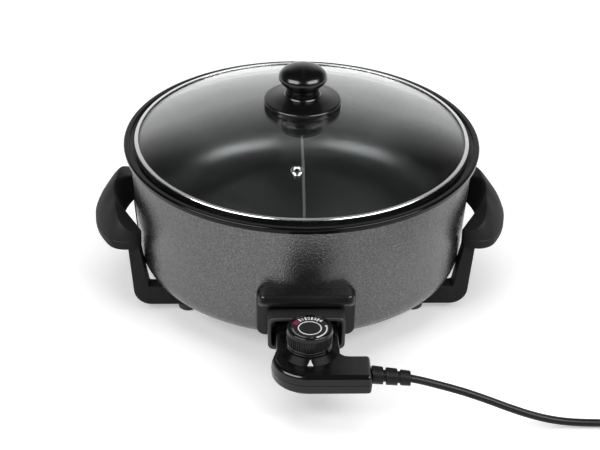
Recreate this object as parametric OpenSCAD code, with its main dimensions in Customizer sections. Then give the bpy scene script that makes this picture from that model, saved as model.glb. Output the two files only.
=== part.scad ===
// Electric grill pan: glass-lidded pan, feet and handles, pull-out thermostat plug with dial and cord.
// Millimetres. Z up, table at z = 0, front towards -Y, left handle towards -X.

/* [Pan] */
// Radius of the rim's outer edge
rim_r = 180; // [165:1:195]
// Height from the housing's flat bottom to the rim's top
housing_h = 139; // [132:1:150]
// Depth of the cooking floor below the rim's top
pan_depth = 100; // [90:1:102]
// Thickness of the pan's cast wall and floor
pan_wall = 3.5; // [3:0.5:4.5]
// Radius of the pan's inside corner
pan_corner_r = 25; // [18:1:32]
// Inward lean of the pan's wall from the ledge to the corner
pan_lean = 8; // [5:1:12]
// Height of the rim band
rim_band_h = 6; // [5:0.5:8]
// Width of the rim's flat top
rim_land = 6; // [5:0.5:7]
// Drop from the rim's top to the ledge that carries the lid
ledge_drop = 4; // [3:0.5:4]
// Width of that ledge
ledge_w = 10; // [9:0.5:12]

/* [Housing] */
// How far the housing's wall stands in from the rim's edge at its top
housing_inset = 6; // [5:0.5:7]
// Inward lean of the housing's wall from its top to its corner
housing_lean = 7.5; // [5:0.5:10]
// Radius of the housing's bottom corner
housing_corner_r = 28; // [22:1:32]
// Sheet thickness of the housing
housing_t = 1.2; // [1:0.1:1.6]
// Radius of the circle that the three posts stand on
post_pcd_r = 62; // [55:1:70]

/* [Lid] */
// Radial play between the lid's band and the rim's step
lid_play = 5.5; // [4:0.5:7]
// Height of the glass at its middle above the rim's top
lid_rise = 39.5; // [35:0.5:46]
// Thickness of the glass
glass_t = 4; // [3.5:0.5:5]
// Distance of the steam vent from the middle
vent_r = 110; // [90:1:125]
// Angle of the steam vent from the front, minus is left
vent_turn = -4.5; // [-180:0.5:180]
// Largest radius of the knob
knob_r = 24.3; // [21:0.1:28]
// Radius of the knob's flange
knob_flange_r = 39; // [34:0.5:44]
// Height of the knob above the glass
knob_h = 42; // [40:0.5:48]
// Radius of the cup under the glass
knob_cup_r = 22; // [19:0.5:25]
// Height of that cup
knob_cup_h = 20; // [17:0.5:23]

/* [Handles and feet] */
// How far the grips stand out beyond the rim
handle_reach = 31; // [28:1:36]
// Radius of the grip's outer curve
grip_curve_r = 112; // [105:1:122]
// Radius of the grip's rounded ends
grip_end_r = 20; // [18:0.5:22]
// Thickness of the grip in plan at the middle of its top
grip_t = 20.5; // [18:0.5:23]
// Width of the gap for the fingers at the grip's underside
finger_gap = 15; // [14:0.5:20]
// Height of the grip's ridge below the rim's top
grip_drop = 55.5; // [50:0.5:62]
// Height of the grip from its underside to its ridge
grip_h = 36; // [32:1:40]
// Width of a leg and its foot bar
leg_w = 17; // [14:0.5:20]
// Height of a foot bar
bar_h = 21.4; // [18:0.2:24]
// Distance from the middle plane to a leg's middle
leg_y = 53.5; // [50:0.5:58]
// Distance of a foot from the rim's edge, to the side
foot_inset = 64; // [58:1:75]
// Radius of a rubber foot
foot_r = 10; // [9:0.5:11]
// Height of a rubber foot
foot_h = 7.6; // [6:0.2:10]

/* [Socket] */
// Width of the plate behind the socket
plate_w = 95; // [88:1:104]
// Height of that plate
plate_h = 51.4; // [48:0.2:56]
// Width of the sleeve
sleeve_w = 73.6; // [70:0.2:80]
// Height of the sleeve
sleeve_h = 35.6; // [34:0.2:40]
// Wall of the sleeve
sleeve_t = 3.4; // [2.6:0.2:4]
// Length of the sleeve in front of the housing
sleeve_l = 25; // [22:0.5:28]
// Distance of a contact pin from the middle
pin_x = 17; // [15:0.5:18]
// Radius of a contact pin
pin_r = 2.5; // [2:0.1:2.8]
// Length of a contact pin in front of the sleeve's floor
pin_l = 15; // [13:0.5:17]
// Radius of the heating ring
ring_r = 105; // [95:1:115]

/* [Thermostat plug] */
// Width of the plug's nose
nose_w = 60; // [58:0.5:62]
// Height of the plug's shell
plug_h = 20; // [19:0.5:22]
// Length of the plug from its nose to its front
plug_l = 98; // [94:0.5:104]
// Radius of the plug's rounded front corner
plug_round_r = 35; // [34:0.5:38]
// Reach of the cord arm to the right of the middle
arm_x = 57.5; // [54:0.5:64]
// Width of the cord arm
arm_w = 34; // [32:0.5:38]
// Wall of the plug's shell
plug_t = 2.6; // [2:0.2:3]
// Radius of the temperature dial
dial_r = 21.7; // [19:0.1:24]
// Height of the dial's top above the plug
dial_h = 26; // [24:0.5:30]
// Ribs round the dial
dial_ribs = 54; // [36:2:72]
// Radius of the probe
probe_r = 4.5; // [3.5:0.1:4.8]
// Length of the probe beyond the plug's nose
probe_l = 66; // [60:1:70]
// Length of the probe inside the plug
probe_in = 30; // [27:1:32]

/* [Cord] */
// Thickness of the mains cord
cord_d = 7.3; // [6.8:0.1:7.4]
// Turns of the tied coil
coil_turns = 4.25; // [3.25:1:5.25]
// Distance between neighbouring turns
coil_pitch = 7.9; // [7.9:0.1:9]
// Radius of the coil's outer turn
coil_r = 46; // [44:1:50]

/* [Clearances] */
// Gap between pieces that slide or lift past each other
slide_gap = 0.3; // [0.25:0.05:0.4]
// Gap between pieces that are fixed to each other
fit_gap = 0.15; // [0.1:0.05:0.2]
// Gap round the dial's turning shaft
shaft_gap = 0.05; // [0.03:0.01:0.1]

/* [Show] */
// Which node is drawn

/* [Hidden] */
$fn = 96;

base_z = foot_h + bar_h;
rim_h = base_z + housing_h;
floor_z = rim_h - pan_depth;
under_z = floor_z - pan_wall;
band_z = rim_h - rim_band_h;
ledge_z = rim_h - ledge_drop;
step_r = rim_r - rim_land;
pan_in_r = step_r - ledge_w;
pan_low_r = pan_in_r - pan_lean;
wall_top_r = rim_r - housing_inset;
wall_low_r = wall_top_r - housing_lean;
corner_z = base_z + housing_corner_r;
inside_z = base_z + housing_t;

lid_r = step_r - lid_play;
glass_r = lid_r - 1.8;
apex_z = rim_h + lid_rise;
dome_sag = lid_rise - 1.5;
dome_R = (glass_r * glass_r + dome_sag * dome_sag) / (2 * dome_sag);
dome_z = apex_z - dome_R;

grip_x = rim_r + handle_reach - grip_curve_r;
ridge_z = rim_h - grip_drop;
grip_z = ridge_z - grip_h;
grip_lip = 8.6;
grip_in_x = rim_r + handle_reach - grip_t;
finger_x = wall_low_r + finger_gap;
arm_out_y = leg_y + leg_w / 2 + 5.2;
arm_tip = [wall_low_r - 4.7, leg_y + 0.5];
end_turn = asin((arm_out_y - grip_end_r) / (grip_curve_r - grip_end_r));
end_mid = [grip_x + (grip_curve_r - grip_end_r) * cos(end_turn), arm_out_y - grip_end_r];
leg_out_x = wall_low_r + 8;
foot_x = rim_r - foot_inset;

element_r = 3.5;
element_z = under_z - element_r - slide_gap;
probe_z = element_z - 2.7;
guide_r = probe_r + slide_gap + 1.4;
sock_z = element_z - 1.5;
wall_y = -wall_r(sock_z);
plate_y = wall_y - 5;
visor_y = wall_y - 17;
sleeve_y = wall_y - sleeve_l;
web_y = wall_y - 4;
plate_z = sock_z - 15;
plate_round_r = 9;
plate_back_y = plate_y + 45;
nose_y = wall_y - 9.6;

plug_z = sock_z - 1.2;
plug_top_z = plug_z + plug_h / 2;
plug_low_z = plug_z - plug_h / 2;
plug_y = nose_y - plug_l;
round_y = plug_y + plug_round_r;
arm_y = plug_y + arm_w;
boot_y = plug_y + 12;
dial_x = 1;
dial_y = nose_y - 54;
boss_h = 5.5;
collar_h = 4.4;
boss_z = plug_top_z + boss_h;
dial_z = plug_top_z + dial_h;
pan_y = (-plug_y - rim_r) / 2;

cord_r = cord_d / 2;
tie_t = 1.2;
boot_x = arm_x + 35.5;
boot_neck_r = cord_r + 1.95;
coil_x = 342;
coil_y = boot_y + coil_r;
coil_z = cord_r + tie_t + 0.1;
layer_h = cord_d + 0.55;
tail_x = coil_x + coil_r;
tail_y = coil_y + 62;
tail_z = 17.5;
mains_l = 43;
mains_pin_l = 16.6;

// Housing wall radius at a height
function wall_r(z) = wall_low_r + (wall_top_r - wall_low_r) * (z - corner_z) / (band_z - corner_z);

// Points of a circular arc
function arc(cx, cy, r, a0, a1, n) = [for (i = [0:n]) let (a = a0 + (a1 - a0) * i / n)
    [cx + r * cos(a), cy + r * sin(a)]];

function unit(v) = v / norm(v);
function mix(a, b, t) = a + (b - a) * t;
function smooth(t) = let (u = min(1, max(0, t))) u * u * (3 - 2 * u);
function curve(a, b, c, d, t) = let (s = 1 - t)
    s * s * s * a + 3 * s * s * t * b + 3 * s * t * t * c + t * t * t * d;
function mean(l, i = 0) = i == len(l) ? [0, 0, 0] : l[i] / len(l) + mean(l, i + 1);

// Draws about the pan's axis, moved so that the whole stands over the origin
module at_pan() translate([0, pan_y, 0]) children();

// Solid through a list of rings, capped from a middle point at each end
module skin(rings, c0, c1) {
    n = len(rings[0]);
    m = len(rings);
    a = m * n;
    sides = [for (j = [0:m - 2], i = [0:n - 1]) let (k = (i + 1) % n)
        each [[j * n + i, j * n + n + i, j * n + k], [j * n + k, j * n + n + i, j * n + n + k]]];
    first = [for (i = [0:n - 1]) [a, i, (i + 1) % n]];
    last = [for (i = [0:n - 1]) [a + 1, a - n + (i + 1) % n, a - n + i]];
    polyhedron(points = concat([for (r = rings) each r], [c0, c1]), faces = concat(sides, first, last));
}

// Round tube along a route that is never upright
module tube(route, r, n) {
    m = len(route) - 1;
    rings = [for (j = [0:m])
        let (t = unit(route[min(m, j + 1)] - route[max(0, j - 1)]),
            s = unit(cross(t, [0, 0, 1])), u = cross(t, s))
        [for (i = [0:n - 1]) route[j] + r * (cos(360 * i / n) * s + sin(360 * i / n) * u)]];
    skin(rings, route[0], route[m]);
}

// Rounded rectangle in a plane facing the front, between two depths
module front_block(w, h, r, y0, y1) {
    translate([0, y1, 0])
        rotate([90, 0, 0])
            linear_extrude(y1 - y0) {
                square([w - 2 * r, h], center = true);
                square([w, h - 2 * r], center = true);
                for (x = [-1, 1], z = [-1, 1]) translate([x * (w / 2 - r), z * (h / 2 - r)]) circle(r);
            }
}

// Rod along Y
module rod_y(r, y0, y1) translate([0, y1, 0]) rotate([90, 0, 0]) cylinder(r = r, h = y1 - y0);

// Rod along X
module rod_x(r, x0, x1) translate([x0, 0, 0]) rotate([0, 90, 0]) cylinder(r = r, h = x1 - x0);

// Solid of the housing's outside, grown a little to cut pieces that seat on it
module housing_form(grow) {
    rotate_extrude()
        polygon(concat([[0, base_z - grow]],
            arc(wall_low_r - housing_corner_r, corner_z, housing_corner_r + grow, -90, 0, 8),
            [[wall_top_r + grow, band_z], [0, band_z]]));
}

module inner_pan() at_pan() color([0.09, 0.09, 0.1]) {
    rotate_extrude()
        polygon(concat([[0, floor_z]],
            arc(pan_low_r - pan_corner_r, floor_z + pan_corner_r, pan_corner_r, -90, 0, 8),
            [[pan_in_r, ledge_z - 1.2], [pan_in_r + 1, ledge_z], [step_r - 0.6, ledge_z]],
            [[step_r, rim_h - 1]],
            arc(step_r + 1, rim_h - 1, 1, 180, 90, 3),
            arc(rim_r - 1.6, rim_h - 1.6, 1.6, 90, 0, 4),
            [[rim_r - 1.4, band_z], [pan_in_r + pan_wall, band_z]],
            arc(pan_low_r - pan_corner_r, floor_z + pan_corner_r, pan_corner_r + pan_wall, 0, -90, 8),
            [[0, under_z]]));
}

module housing() at_pan() color([0.42, 0.43, 0.44]) difference() {
    rotate_extrude()
        polygon(concat([[0, base_z]],
            arc(wall_low_r - housing_corner_r, corner_z, housing_corner_r, -90, 0, 8),
            [[wall_top_r, band_z], [wall_top_r - housing_t, band_z]],
            arc(wall_low_r - housing_corner_r, corner_z, housing_corner_r - housing_t, 0, -90, 8),
            [[0, inside_z]]));
    translate([0, 0, sock_z]) front_block(2 * pin_x + 14, 18, 4, wall_y - 5, wall_y + 20);
    socket_screw_places() rod_y(2.2, wall_y - 5, wall_y + 20);
    foot_places() cylinder(r = 2.7, h = 3 * base_z);
    post_places() cylinder(r = 2.2, h = 3 * base_z);
}

module post_places() for (a = [30, 150, 270]) rotate(a) translate([post_pcd_r, 0, 0]) children();

module foot_places() for (x = [-1, 1], y = [-1, 1]) translate([x * foot_x, y * leg_y, 0]) children();

module socket_screw_places() for (x = [-1, 1]) translate([x * (pin_x + 12.5), 0, sock_z]) children();

module pan_studs() at_pan() color([0.75, 0.75, 0.76]) post_places() difference() {
    translate([0, 0, inside_z]) cylinder(r = 5, h = under_z - inside_z);
    translate([0, 0, inside_z - 1]) cylinder(r = 2.1, h = 15);
}

module base_screws() at_pan() color([0.7, 0.7, 0.72]) post_places() {
    translate([0, 0, base_z - 2.4]) cylinder(r1 = 3.4, r2 = 4.2, h = 2.4);
    translate([0, 0, base_z - 1]) cylinder(r = 2, h = housing_t + 13);
}

module heating_element() at_pan() color([0.35, 0.33, 0.32]) translate([0, 0, element_z]) {
    a = asin(pin_x / ring_r);
    end_y = -ring_r * cos(a);
    rotate(-90 + a) rotate_extrude(angle = 360 - 2 * a) translate([ring_r, 0]) circle(element_r, $fn = 48);
    for (x = [-1, 1]) translate([x * pin_x, 0, 0]) {
        translate([0, end_y, 0]) sphere(element_r, $fn = 48);
        rod_y(element_r, wall_y + 16, end_y);
    }
}

module element_clamps() at_pan() color([0.72, 0.72, 0.74])
    for (a = [0, 90, 180]) rotate(a) translate([ring_r, 0, 0]) rotate([90, 0, 0])
        linear_extrude(12, center = true) difference() {
            union() {
                translate([0, element_z]) circle(element_r + slide_gap + 1.2);
                translate([-element_r - slide_gap - 1.2, element_z])
                    square([2 * element_r + 2 * slide_gap + 2.4, under_z - element_z]);
                translate([-11, under_z - 1.2]) square([22, 1.2]);
            }
            translate([0, element_z]) circle(element_r + slide_gap);
            translate([-element_r - slide_gap, element_z]) square([2 * element_r + 2 * slide_gap, 10]);
        }

module probe_guide() at_pan() color([0.7, 0.7, 0.72]) difference() {
    translate([0, 0, probe_z]) {
        rod_y(guide_r, wall_y + 14, nose_y + probe_l + 4);
        translate([-4, wall_y + 30, 0]) cube([8, 24, under_z - probe_z]);
    }
    translate([0, 0, probe_z]) rod_y(probe_r + slide_gap, wall_y, nose_y + probe_l + 1);
}

module terminal_pins() at_pan() color([0.72, 0.6, 0.32])
    for (x = [-1, 1]) translate([x * pin_x, 0, element_z]) {
        rod_y(pin_r, web_y - pin_l, wall_y + 16);
        translate([0, web_y - pin_l, 0]) sphere(pin_r, $fn = 48);
    }

module socket_plate() at_pan() color([0.08, 0.08, 0.085]) difference() {
    union() {
        translate([0, 0, plate_z + plate_h / 2])
            front_block(plate_w, plate_h, plate_round_r, plate_y, plate_back_y);
        intersection() {
            translate([-plate_w / 2, 0, 0]) rotate([90, 0, 90]) linear_extrude(plate_w) visor_outline();
            translate([0, 0, plate_z + plate_h / 2])
                front_block(plate_w, plate_h, plate_round_r, visor_y - 5, plate_y + 8);
            translate([0, visor_y + 20, 0]) linear_extrude(3 * plate_h) {
                square([plate_w - 16, 40], center = true);
                translate([-plate_w / 2, -12]) square([plate_w, 32]);
                for (x = [-1, 1]) translate([x * (plate_w / 2 - 8), -12]) circle(8);
            }
        }
    }
    housing_form(fit_gap);
    translate([0, 0, sock_z])
        front_block(sleeve_w + 2 * fit_gap, sleeve_h + 2 * fit_gap, 6 + fit_gap, plate_y - 40, plate_y + 60);
}

// Section of the rounded visor along the plate's top
module visor_outline() {
    zt = plate_z + plate_h;
    polygon(concat([[plate_y + 8, zt], [plate_y - 1, zt]], arc(visor_y + 5, zt - 6.6, 5, 100, 270, 8),
        [[plate_y, zt - 16], [plate_y + 8, zt - 16]]));
}

module socket_shroud() at_pan() color([0.07, 0.07, 0.075]) difference() {
    translate([0, 0, sock_z]) front_block(sleeve_w, sleeve_h, 6, sleeve_y, plate_back_y);
    housing_form(fit_gap);
    translate([0, 0, sock_z])
        front_block(sleeve_w - 2 * sleeve_t, sleeve_h - 2 * sleeve_t, 6 - sleeve_t / 2, sleeve_y - 5, web_y);
    for (x = [-1, 1]) translate([x * pin_x, 0, element_z]) rod_y(pin_r + fit_gap, web_y - 5, plate_back_y);
    translate([0, 0, probe_z]) rod_y(probe_r + 2 * slide_gap, web_y - 5, plate_back_y);
    socket_screw_places() rod_y(2.2, web_y - 5, plate_back_y);
}

module socket_screws() at_pan() color([0.72, 0.72, 0.74]) socket_screw_places() {
    rod_y(2, web_y - 1, wall_y + 8);
    difference() {
        rod_y(3.6, web_y - 2.6, web_y);
        translate([0, web_y - 2.6, 0]) cube([0.9, 1.6, 6], center = true);
    }
}

// Outer edge of a grip in plan, from its middle at t = 0 round its end at t = 1
function grip_outer(t) = t < 0.56
    ? let (a = end_turn * t / 0.56) [grip_x + grip_curve_r * cos(a), grip_curve_r * sin(a)]
    : let (a = mix(end_turn, 138, (t - 0.56) / 0.44)) end_mid + grip_end_r * [cos(a), sin(a)];

// Inner edges of a grip in plan, at its underside and along the top of its arms
function grip_low(t) = curve([finger_x, 0], [finger_x, 16], [finger_x - 9.5, 38], arm_tip, t);
function grip_high(t) = curve([grip_in_x, 0], [grip_in_x + 0.7, 22], [finger_x - 5.5, 38], arm_tip, t);

function raised(p, z) = [p[0], p[1], z];

// Section of a grip: inner face, sunk top of the arm, ridge, round outer face, lip
function grip_section(t) =
    let (o = grip_outer(t), i = grip_low(t), e = grip_high(t),
        r = mix(o, e, mix(0.945, 0.1, smooth((t - 0.2) / 0.75))),
        ze = ridge_z - 1.5 - 18.5 * t * t,
        zr = ridge_z - 18 * smooth((t - 0.42) / 0.58),
        zl = grip_z + grip_lip)
    concat(
        [raised(i, grip_z + 1.5), raised(e, ze - 1.8), raised(mix(e, r, 0.2), mix(ze, zr, 0.2)),
            raised(mix(e, r, 0.8), mix(ze, zr, 0.8))],
        [for (b = [0:15:90]) raised(mix(r, o, 0.97 * sin(b)), mix(zl + 1, zr, cos(b)))],
        [raised(o, zl - 0.4), raised(o, grip_z + 1.2), raised(mix(o, i, 0.05), grip_z),
            raised(mix(i, o, 0.05), grip_z)]);

module handle_right() at_pan() handle();

module handle_left() at_pan() mirror([1, 0, 0]) handle();

// Grip, two legs with foot bars, and pads for the feet
module handle() color([0.1, 0.1, 0.105]) difference() {
    union() {
        half = [for (j = [0:13]) grip_section(j / 13)];
        rear = [for (j = [13:-1:1]) [for (p = half[j]) [p[0], -p[1], p[2]]]];
        rings = concat(rear, half);
        skin(rings, mean(rings[0]), mean(rings[len(rings) - 1]));
        for (y = [-1, 1]) translate([0, y * leg_y, 0]) {
            translate([0, leg_w / 2, 0]) rotate([90, 0, 0]) linear_extrude(leg_w) leg_outline();
            translate([foot_x, 0, foot_h]) cylinder(r = foot_r + 1, h = bar_h);
        }
    }
    housing_form(fit_gap);
    for (y = [-1, 1]) translate([foot_x, y * leg_y, 0]) {
        translate([0, 0, foot_h - 1]) cylinder(r = 6, h = 10);
        cylinder(r = 2.7, h = 3 * base_z);
    }
}

// Leg and foot bar seen from the front
module leg_outline() {
    polygon(concat(
        [[foot_x, base_z], [foot_x, foot_h]],
        arc(leg_out_x - 21, foot_h + 18, 18, -90, 8, 8),
        [[leg_out_x + 1.2, grip_z + 2.5], [wall_low_r - 4, grip_z + 2.5], [wall_low_r - 11.6, base_z]]));
}

module handle_screws() at_pan() color([0.7, 0.7, 0.72]) foot_places() {
    difference() {
        translate([0, 0, foot_h + 5.4]) cylinder(r = 5, h = 3.6);
        translate([0, 0, foot_h + 5.4]) cube([1.1, 12, 3], center = true);
    }
    translate([0, 0, foot_h + 8]) cylinder(r = 2.5, h = bar_h - 8 + housing_t + 6);
}

module handle_nuts() at_pan() color([0.7, 0.7, 0.72]) foot_places() difference() {
    translate([0, 0, inside_z]) cylinder(r = 4.6, h = 4, $fn = 6);
    translate([0, 0, inside_z - 1]) cylinder(r = 2.6, h = 6);
}

// Rubber foot with a spigot into its pad
module foot(x, y) at_pan() color([0.06, 0.06, 0.06]) translate([x * foot_x, y * leg_y, 0])
    rotate_extrude()
        polygon(concat([[0, 0]], arc(foot_r - 2.6, 2.6, 2.6, -90, 0, 5),
            [[foot_r, foot_h], [6 - fit_gap, foot_h], [6 - fit_gap, foot_h + 4], [0, foot_h + 4]]));

module foot_front_left() foot(-1, -1);

module foot_front_right() foot(1, -1);

module foot_rear_left() foot(-1, 1);

module foot_rear_right() foot(1, 1);

// Half section of the glass, grown a little for the band's groove
module glass_section(r0, r1, grow) intersection() {
    translate([0, dome_z]) difference() {
        circle(dome_R + grow, $fn = 240);
        circle(dome_R - glass_t - grow, $fn = 240);
    }
    translate([r0, rim_h - 30]) square([r1 - r0, lid_rise + 60]);
}

// Puts a piece on the glass at the vent, upright to the dome
module vent_place() translate([0, 0, dome_z]) rotate(vent_turn) rotate([asin(vent_r / dome_R), 0, 0])
    translate([0, 0, dome_R]) children();

module lid_glass() at_pan() color([0.75, 0.82, 0.84, 0.35]) difference() {
    rotate_extrude() glass_section(4, glass_r, 0);
    vent_place() translate([0, 0, -2 * glass_t]) cylinder(r = 4.3, h = 4 * glass_t);
}

module lid_band() at_pan() color([0.8, 0.8, 0.82]) rotate_extrude() difference() {
    polygon([[lid_r - 4, ledge_z + 1], [lid_r - 3, ledge_z], [lid_r - 0.8, ledge_z], [lid_r, ledge_z + 0.8],
        [lid_r, ledge_z + 5.9], [lid_r - 0.7, ledge_z + 6.9], [lid_r - 2.2, ledge_z + 7.6],
        [lid_r - 4, ledge_z + 8.2]]);
    glass_section(lid_r - 10, glass_r + fit_gap, fit_gap);
}

module vent_eyelet() at_pan() color([0.82, 0.82, 0.84]) vent_place() rotate_extrude()
    polygon([[2.25, -glass_t - 1.2], [5.4, -glass_t - 1.2], [5.4, -glass_t - fit_gap],
        [4.1, -glass_t - fit_gap], [4.1, fit_gap], [6.3, fit_gap], [6.1, 0.8], [5.2, 1.3], [3.2, 1.3],
        [2.25, 0.6]]);

module knob_flange() at_pan() color([0.09, 0.09, 0.095]) {
    r = knob_flange_r;
    edge_z = dome_z + sqrt(dome_R * dome_R - (r - 5) * (r - 5)) + fit_gap;
    rotate_extrude()
        polygon([[3.3, apex_z + fit_gap], [12, apex_z + fit_gap], [12, apex_z + 3.6], [r - 6, apex_z + 2],
            [r - 5, edge_z], [r - 1, edge_z], [r - 0.2, edge_z + 0.8], [r, edge_z + 4.2],
            [r - 0.7, edge_z + 6.2], [r - 2.6, edge_z + 7.4], [r - 9, edge_z + 8.6], [r - 17, edge_z + 10],
            [r - 21, edge_z + 11.4], [r - 22.6, apex_z + 11], [3.3, apex_z + 11]]);
}

module knob_grip() at_pan() color([0.08, 0.08, 0.085]) {
    z0 = apex_z + 11;
    zw = apex_z + knob_h - 13;
    neck = knob_r - 8.3;
    rotate_extrude()
        polygon(concat([[3.1, z0], [neck, z0], [neck, zw - 14], [neck + 0.4, zw - 11.5], [neck + 2, zw - 8.7],
            [neck + 4.6, zw - 6], [neck + 6.9, zw - 3.2]],
            [for (i = [0:10]) [knob_r * cos(9 * i), zw + 13 * sin(9 * i)]],
            [[0, zw - 1], [3.1, zw - 1]]));
}

module knob_gasket() at_pan() color([0.05, 0.05, 0.05]) translate([0, 0, apex_z - glass_t - 3])
    difference() {
        cylinder(r = knob_cup_r - 1, h = 2.2);
        translate([0, 0, -1]) cylinder(r = 4.5, h = 5);
    }

module knob_cup() at_pan() color([0.09, 0.09, 0.095]) {
    z1 = apex_z - glass_t - 3;
    z0 = z1 - knob_cup_h;
    rotate_extrude()
        polygon([[6.4, z0], [knob_cup_r - 2, z0], [knob_cup_r - 0.6, z0 + 0.6], [knob_cup_r, z0 + 2],
            [knob_cup_r, z1], [3.3, z1], [3.3, z0 + 5], [6.4, z0 + 5]]);
}

module knob_screw() at_pan() color([0.75, 0.75, 0.77]) {
    z0 = apex_z - glass_t - 3 - knob_cup_h;
    difference() {
        translate([0, 0, z0 + 1]) cylinder(r = 6, h = 4);
        translate([0, 0, z0 + 1]) cube([1.2, 14, 3], center = true);
    }
    translate([0, 0, z0 + 4]) cylinder(r = 3, h = glass_t + knob_cup_h + 25);
}

// Plan of the plug's shell, moved in by d
function plug_plan(d) =
    let (h = nose_w / 2, rf = 8, rc = 4)
    concat(
        arc(h - rc, nose_y - rc, rc - min(d, 3.4), 0, 90, 3),
        arc(rc - h, nose_y - rc, rc - min(d, 3.4), 90, 180, 3),
        [[d - h, round_y + 14]],
        arc(0, round_y, plug_round_r - d, 186, 270, 12),
        arc(arm_x - rc, plug_y + rc, rc - min(d, 3.4), 270, 360, 3),
        arc(arm_x - rc, arm_y - rc, rc - min(d, 3.4), 0, 90, 3),
        arc(h + rf, arm_y + rf, rf + d, 270, 180, 5));

function plug_ring(d, z) = [for (p = plug_plan(d)) [p[0], p[1], z]];

// Half shell of the plug between the parting plane and its outer face, side +1 up or -1 down
module plug_shell(side, round) {
    h = plug_h / 2;
    m = [15, plug_y + 24, plug_z];
    up = [for (i = [0:4]) let (a = 22.5 * i)
        plug_ring(0.5 + round * (1 - cos(a)), plug_z + side * (h - round + round * sin(a)))];
    rings = concat([plug_ring(0, plug_z)], up);
    all = side > 0 ? rings : [for (i = [len(rings) - 1:-1:0]) rings[i]];
    lo = side > 0 ? m : m + [0, 0, -h];
    hi = side > 0 ? m + [0, 0, h] : m;
    difference() {
        skin(all, lo, hi);
        translate([0, 0, side > 0 ? plug_z - 1 : plug_low_z + plug_t])
            linear_extrude(h - plug_t + 1) polygon(plug_plan(plug_t));
    }
}

// Places of the screws that hold the two half shells together
module plug_screw_places() {
    for (x = [-1, 1]) translate([x * (nose_w / 2 - 5.6), nose_y - 32, 0]) children();
    translate([-18, plug_y + 24, 0]) children();
    translate([38, plug_y + 26, 0]) children();
}

// Holes through the nose and the arm on the parting plane
module plug_holes() {
    for (x = [-1, 1]) translate([x * pin_x, 0, element_z])
        rod_y(pin_r + slide_gap + 1, nose_y - 6, nose_y + 5);
    translate([0, 0, probe_z]) rod_y(probe_r + fit_gap, nose_y - 6, nose_y + 5);
    translate([0, boot_y, plug_z]) rod_x(boot_neck_r + fit_gap, arm_x - 6, arm_x + 5);
}

module plug_top() at_pan() color([0.07, 0.07, 0.075]) difference() {
    union() {
        plug_shell(1, 3.4);
        translate([dial_x, dial_y, plug_top_z - 0.6]) cylinder(r1 = 27.6, r2 = dial_r, h = boss_h + 0.6);
        translate([dial_x, dial_y, plug_top_z - plug_t - 1]) cylinder(r = 8, h = 4);
        plug_screw_places() translate([0, 0, plug_z]) cylinder(r = 3.4, h = plug_h / 2 - 1);
    }
    plug_holes();
    translate([dial_x, dial_y, plug_z]) cylinder(r = 3 + shaft_gap, h = 40);
    plug_screw_places() translate([0, 0, plug_z - 1]) cylinder(r = 1.4, h = plug_h / 2 - 2);
}

module plug_bottom() at_pan() color([0.07, 0.07, 0.075]) difference() {
    union() {
        plug_shell(-1, 2.6);
        plug_screw_places() translate([0, 0, plug_low_z + 1]) cylinder(r = 3.4, h = plug_h / 2 - 1);
    }
    plug_holes();
    plug_screw_places() {
        translate([0, 0, plug_low_z - 1]) cylinder(r = 1.5, h = plug_h);
        translate([0, 0, plug_low_z - 1]) cylinder(r = 2.7, h = 4);
    }
}

module plug_screws() at_pan() color([0.7, 0.7, 0.72]) plug_screw_places() {
    translate([0, 0, plug_low_z + 1]) cylinder(r = 2.5, h = 2);
    translate([0, 0, plug_low_z + 2]) cylinder(r = 1.3, h = plug_h - 6);
}

module probe_rod() at_pan() color([0.78, 0.78, 0.8]) translate([0, 0, probe_z]) {
    rod_y(probe_r, nose_y - probe_in, nose_y + probe_l - probe_r);
    translate([0, nose_y + probe_l - probe_r, 0]) sphere(probe_r, $fn = 48);
}

module pin_sockets() at_pan() color([0.72, 0.6, 0.32])
    for (x = [-1, 1]) translate([x * pin_x, 0, element_z]) difference() {
        rod_y(pin_r + slide_gap + 1 - fit_gap, nose_y - 24, nose_y - 0.4);
        rod_y(pin_r + slide_gap, nose_y - 23, nose_y + 5);
    }

module thermostat_block() at_pan() color([0.85, 0.83, 0.78])
    translate([-8, nose_y - probe_in - 12, plug_low_z + plug_t]) cube([16, 12, plug_h - 2 * plug_t - 2]);

module bimetal_blade() at_pan() color([0.72, 0.55, 0.35])
    translate([-4, nose_y - 76, plug_low_z + plug_t + 1.5]) cube([8, 34, 0.8]);

module contact_blade() at_pan() color([0.75, 0.6, 0.32])
    translate([-3, nose_y - 68, plug_z + 1]) cube([8, 26, 0.8]);

module cord_clamp() at_pan() color([0.72, 0.72, 0.74])
    translate([arm_x - 15, boot_y - 7, plug_low_z + plug_t]) cube([6, 14, 4.5]);

// Ribs of the cord boot: start and end from the plug, radius
boot_ribs = [[fit_gap, 10.5, 8.6], [13, 23.5, 8.2], [26, 35.5, 7.4]];

module cord_boot() at_pan() color([0.06, 0.06, 0.065]) translate([0, boot_y, plug_z]) rotate([0, 90, 0])
    rotate_extrude()
        polygon(concat([[0, arm_x - 6], [7, arm_x - 6], [7, arm_x - plug_t - fit_gap],
            [boot_neck_r, arm_x - plug_t - fit_gap]],
            [for (b = boot_ribs) each [[boot_neck_r, arm_x + b[0]], [b[2] - 0.8, arm_x + b[0]],
                [b[2], arm_x + b[0] + 0.9], [b[2] - 0.3, arm_x + b[1] - 0.9], [b[2] - 1.1, arm_x + b[1]],
                [boot_neck_r, arm_x + b[1]]]],
            [[0, boot_x]]));

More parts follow.
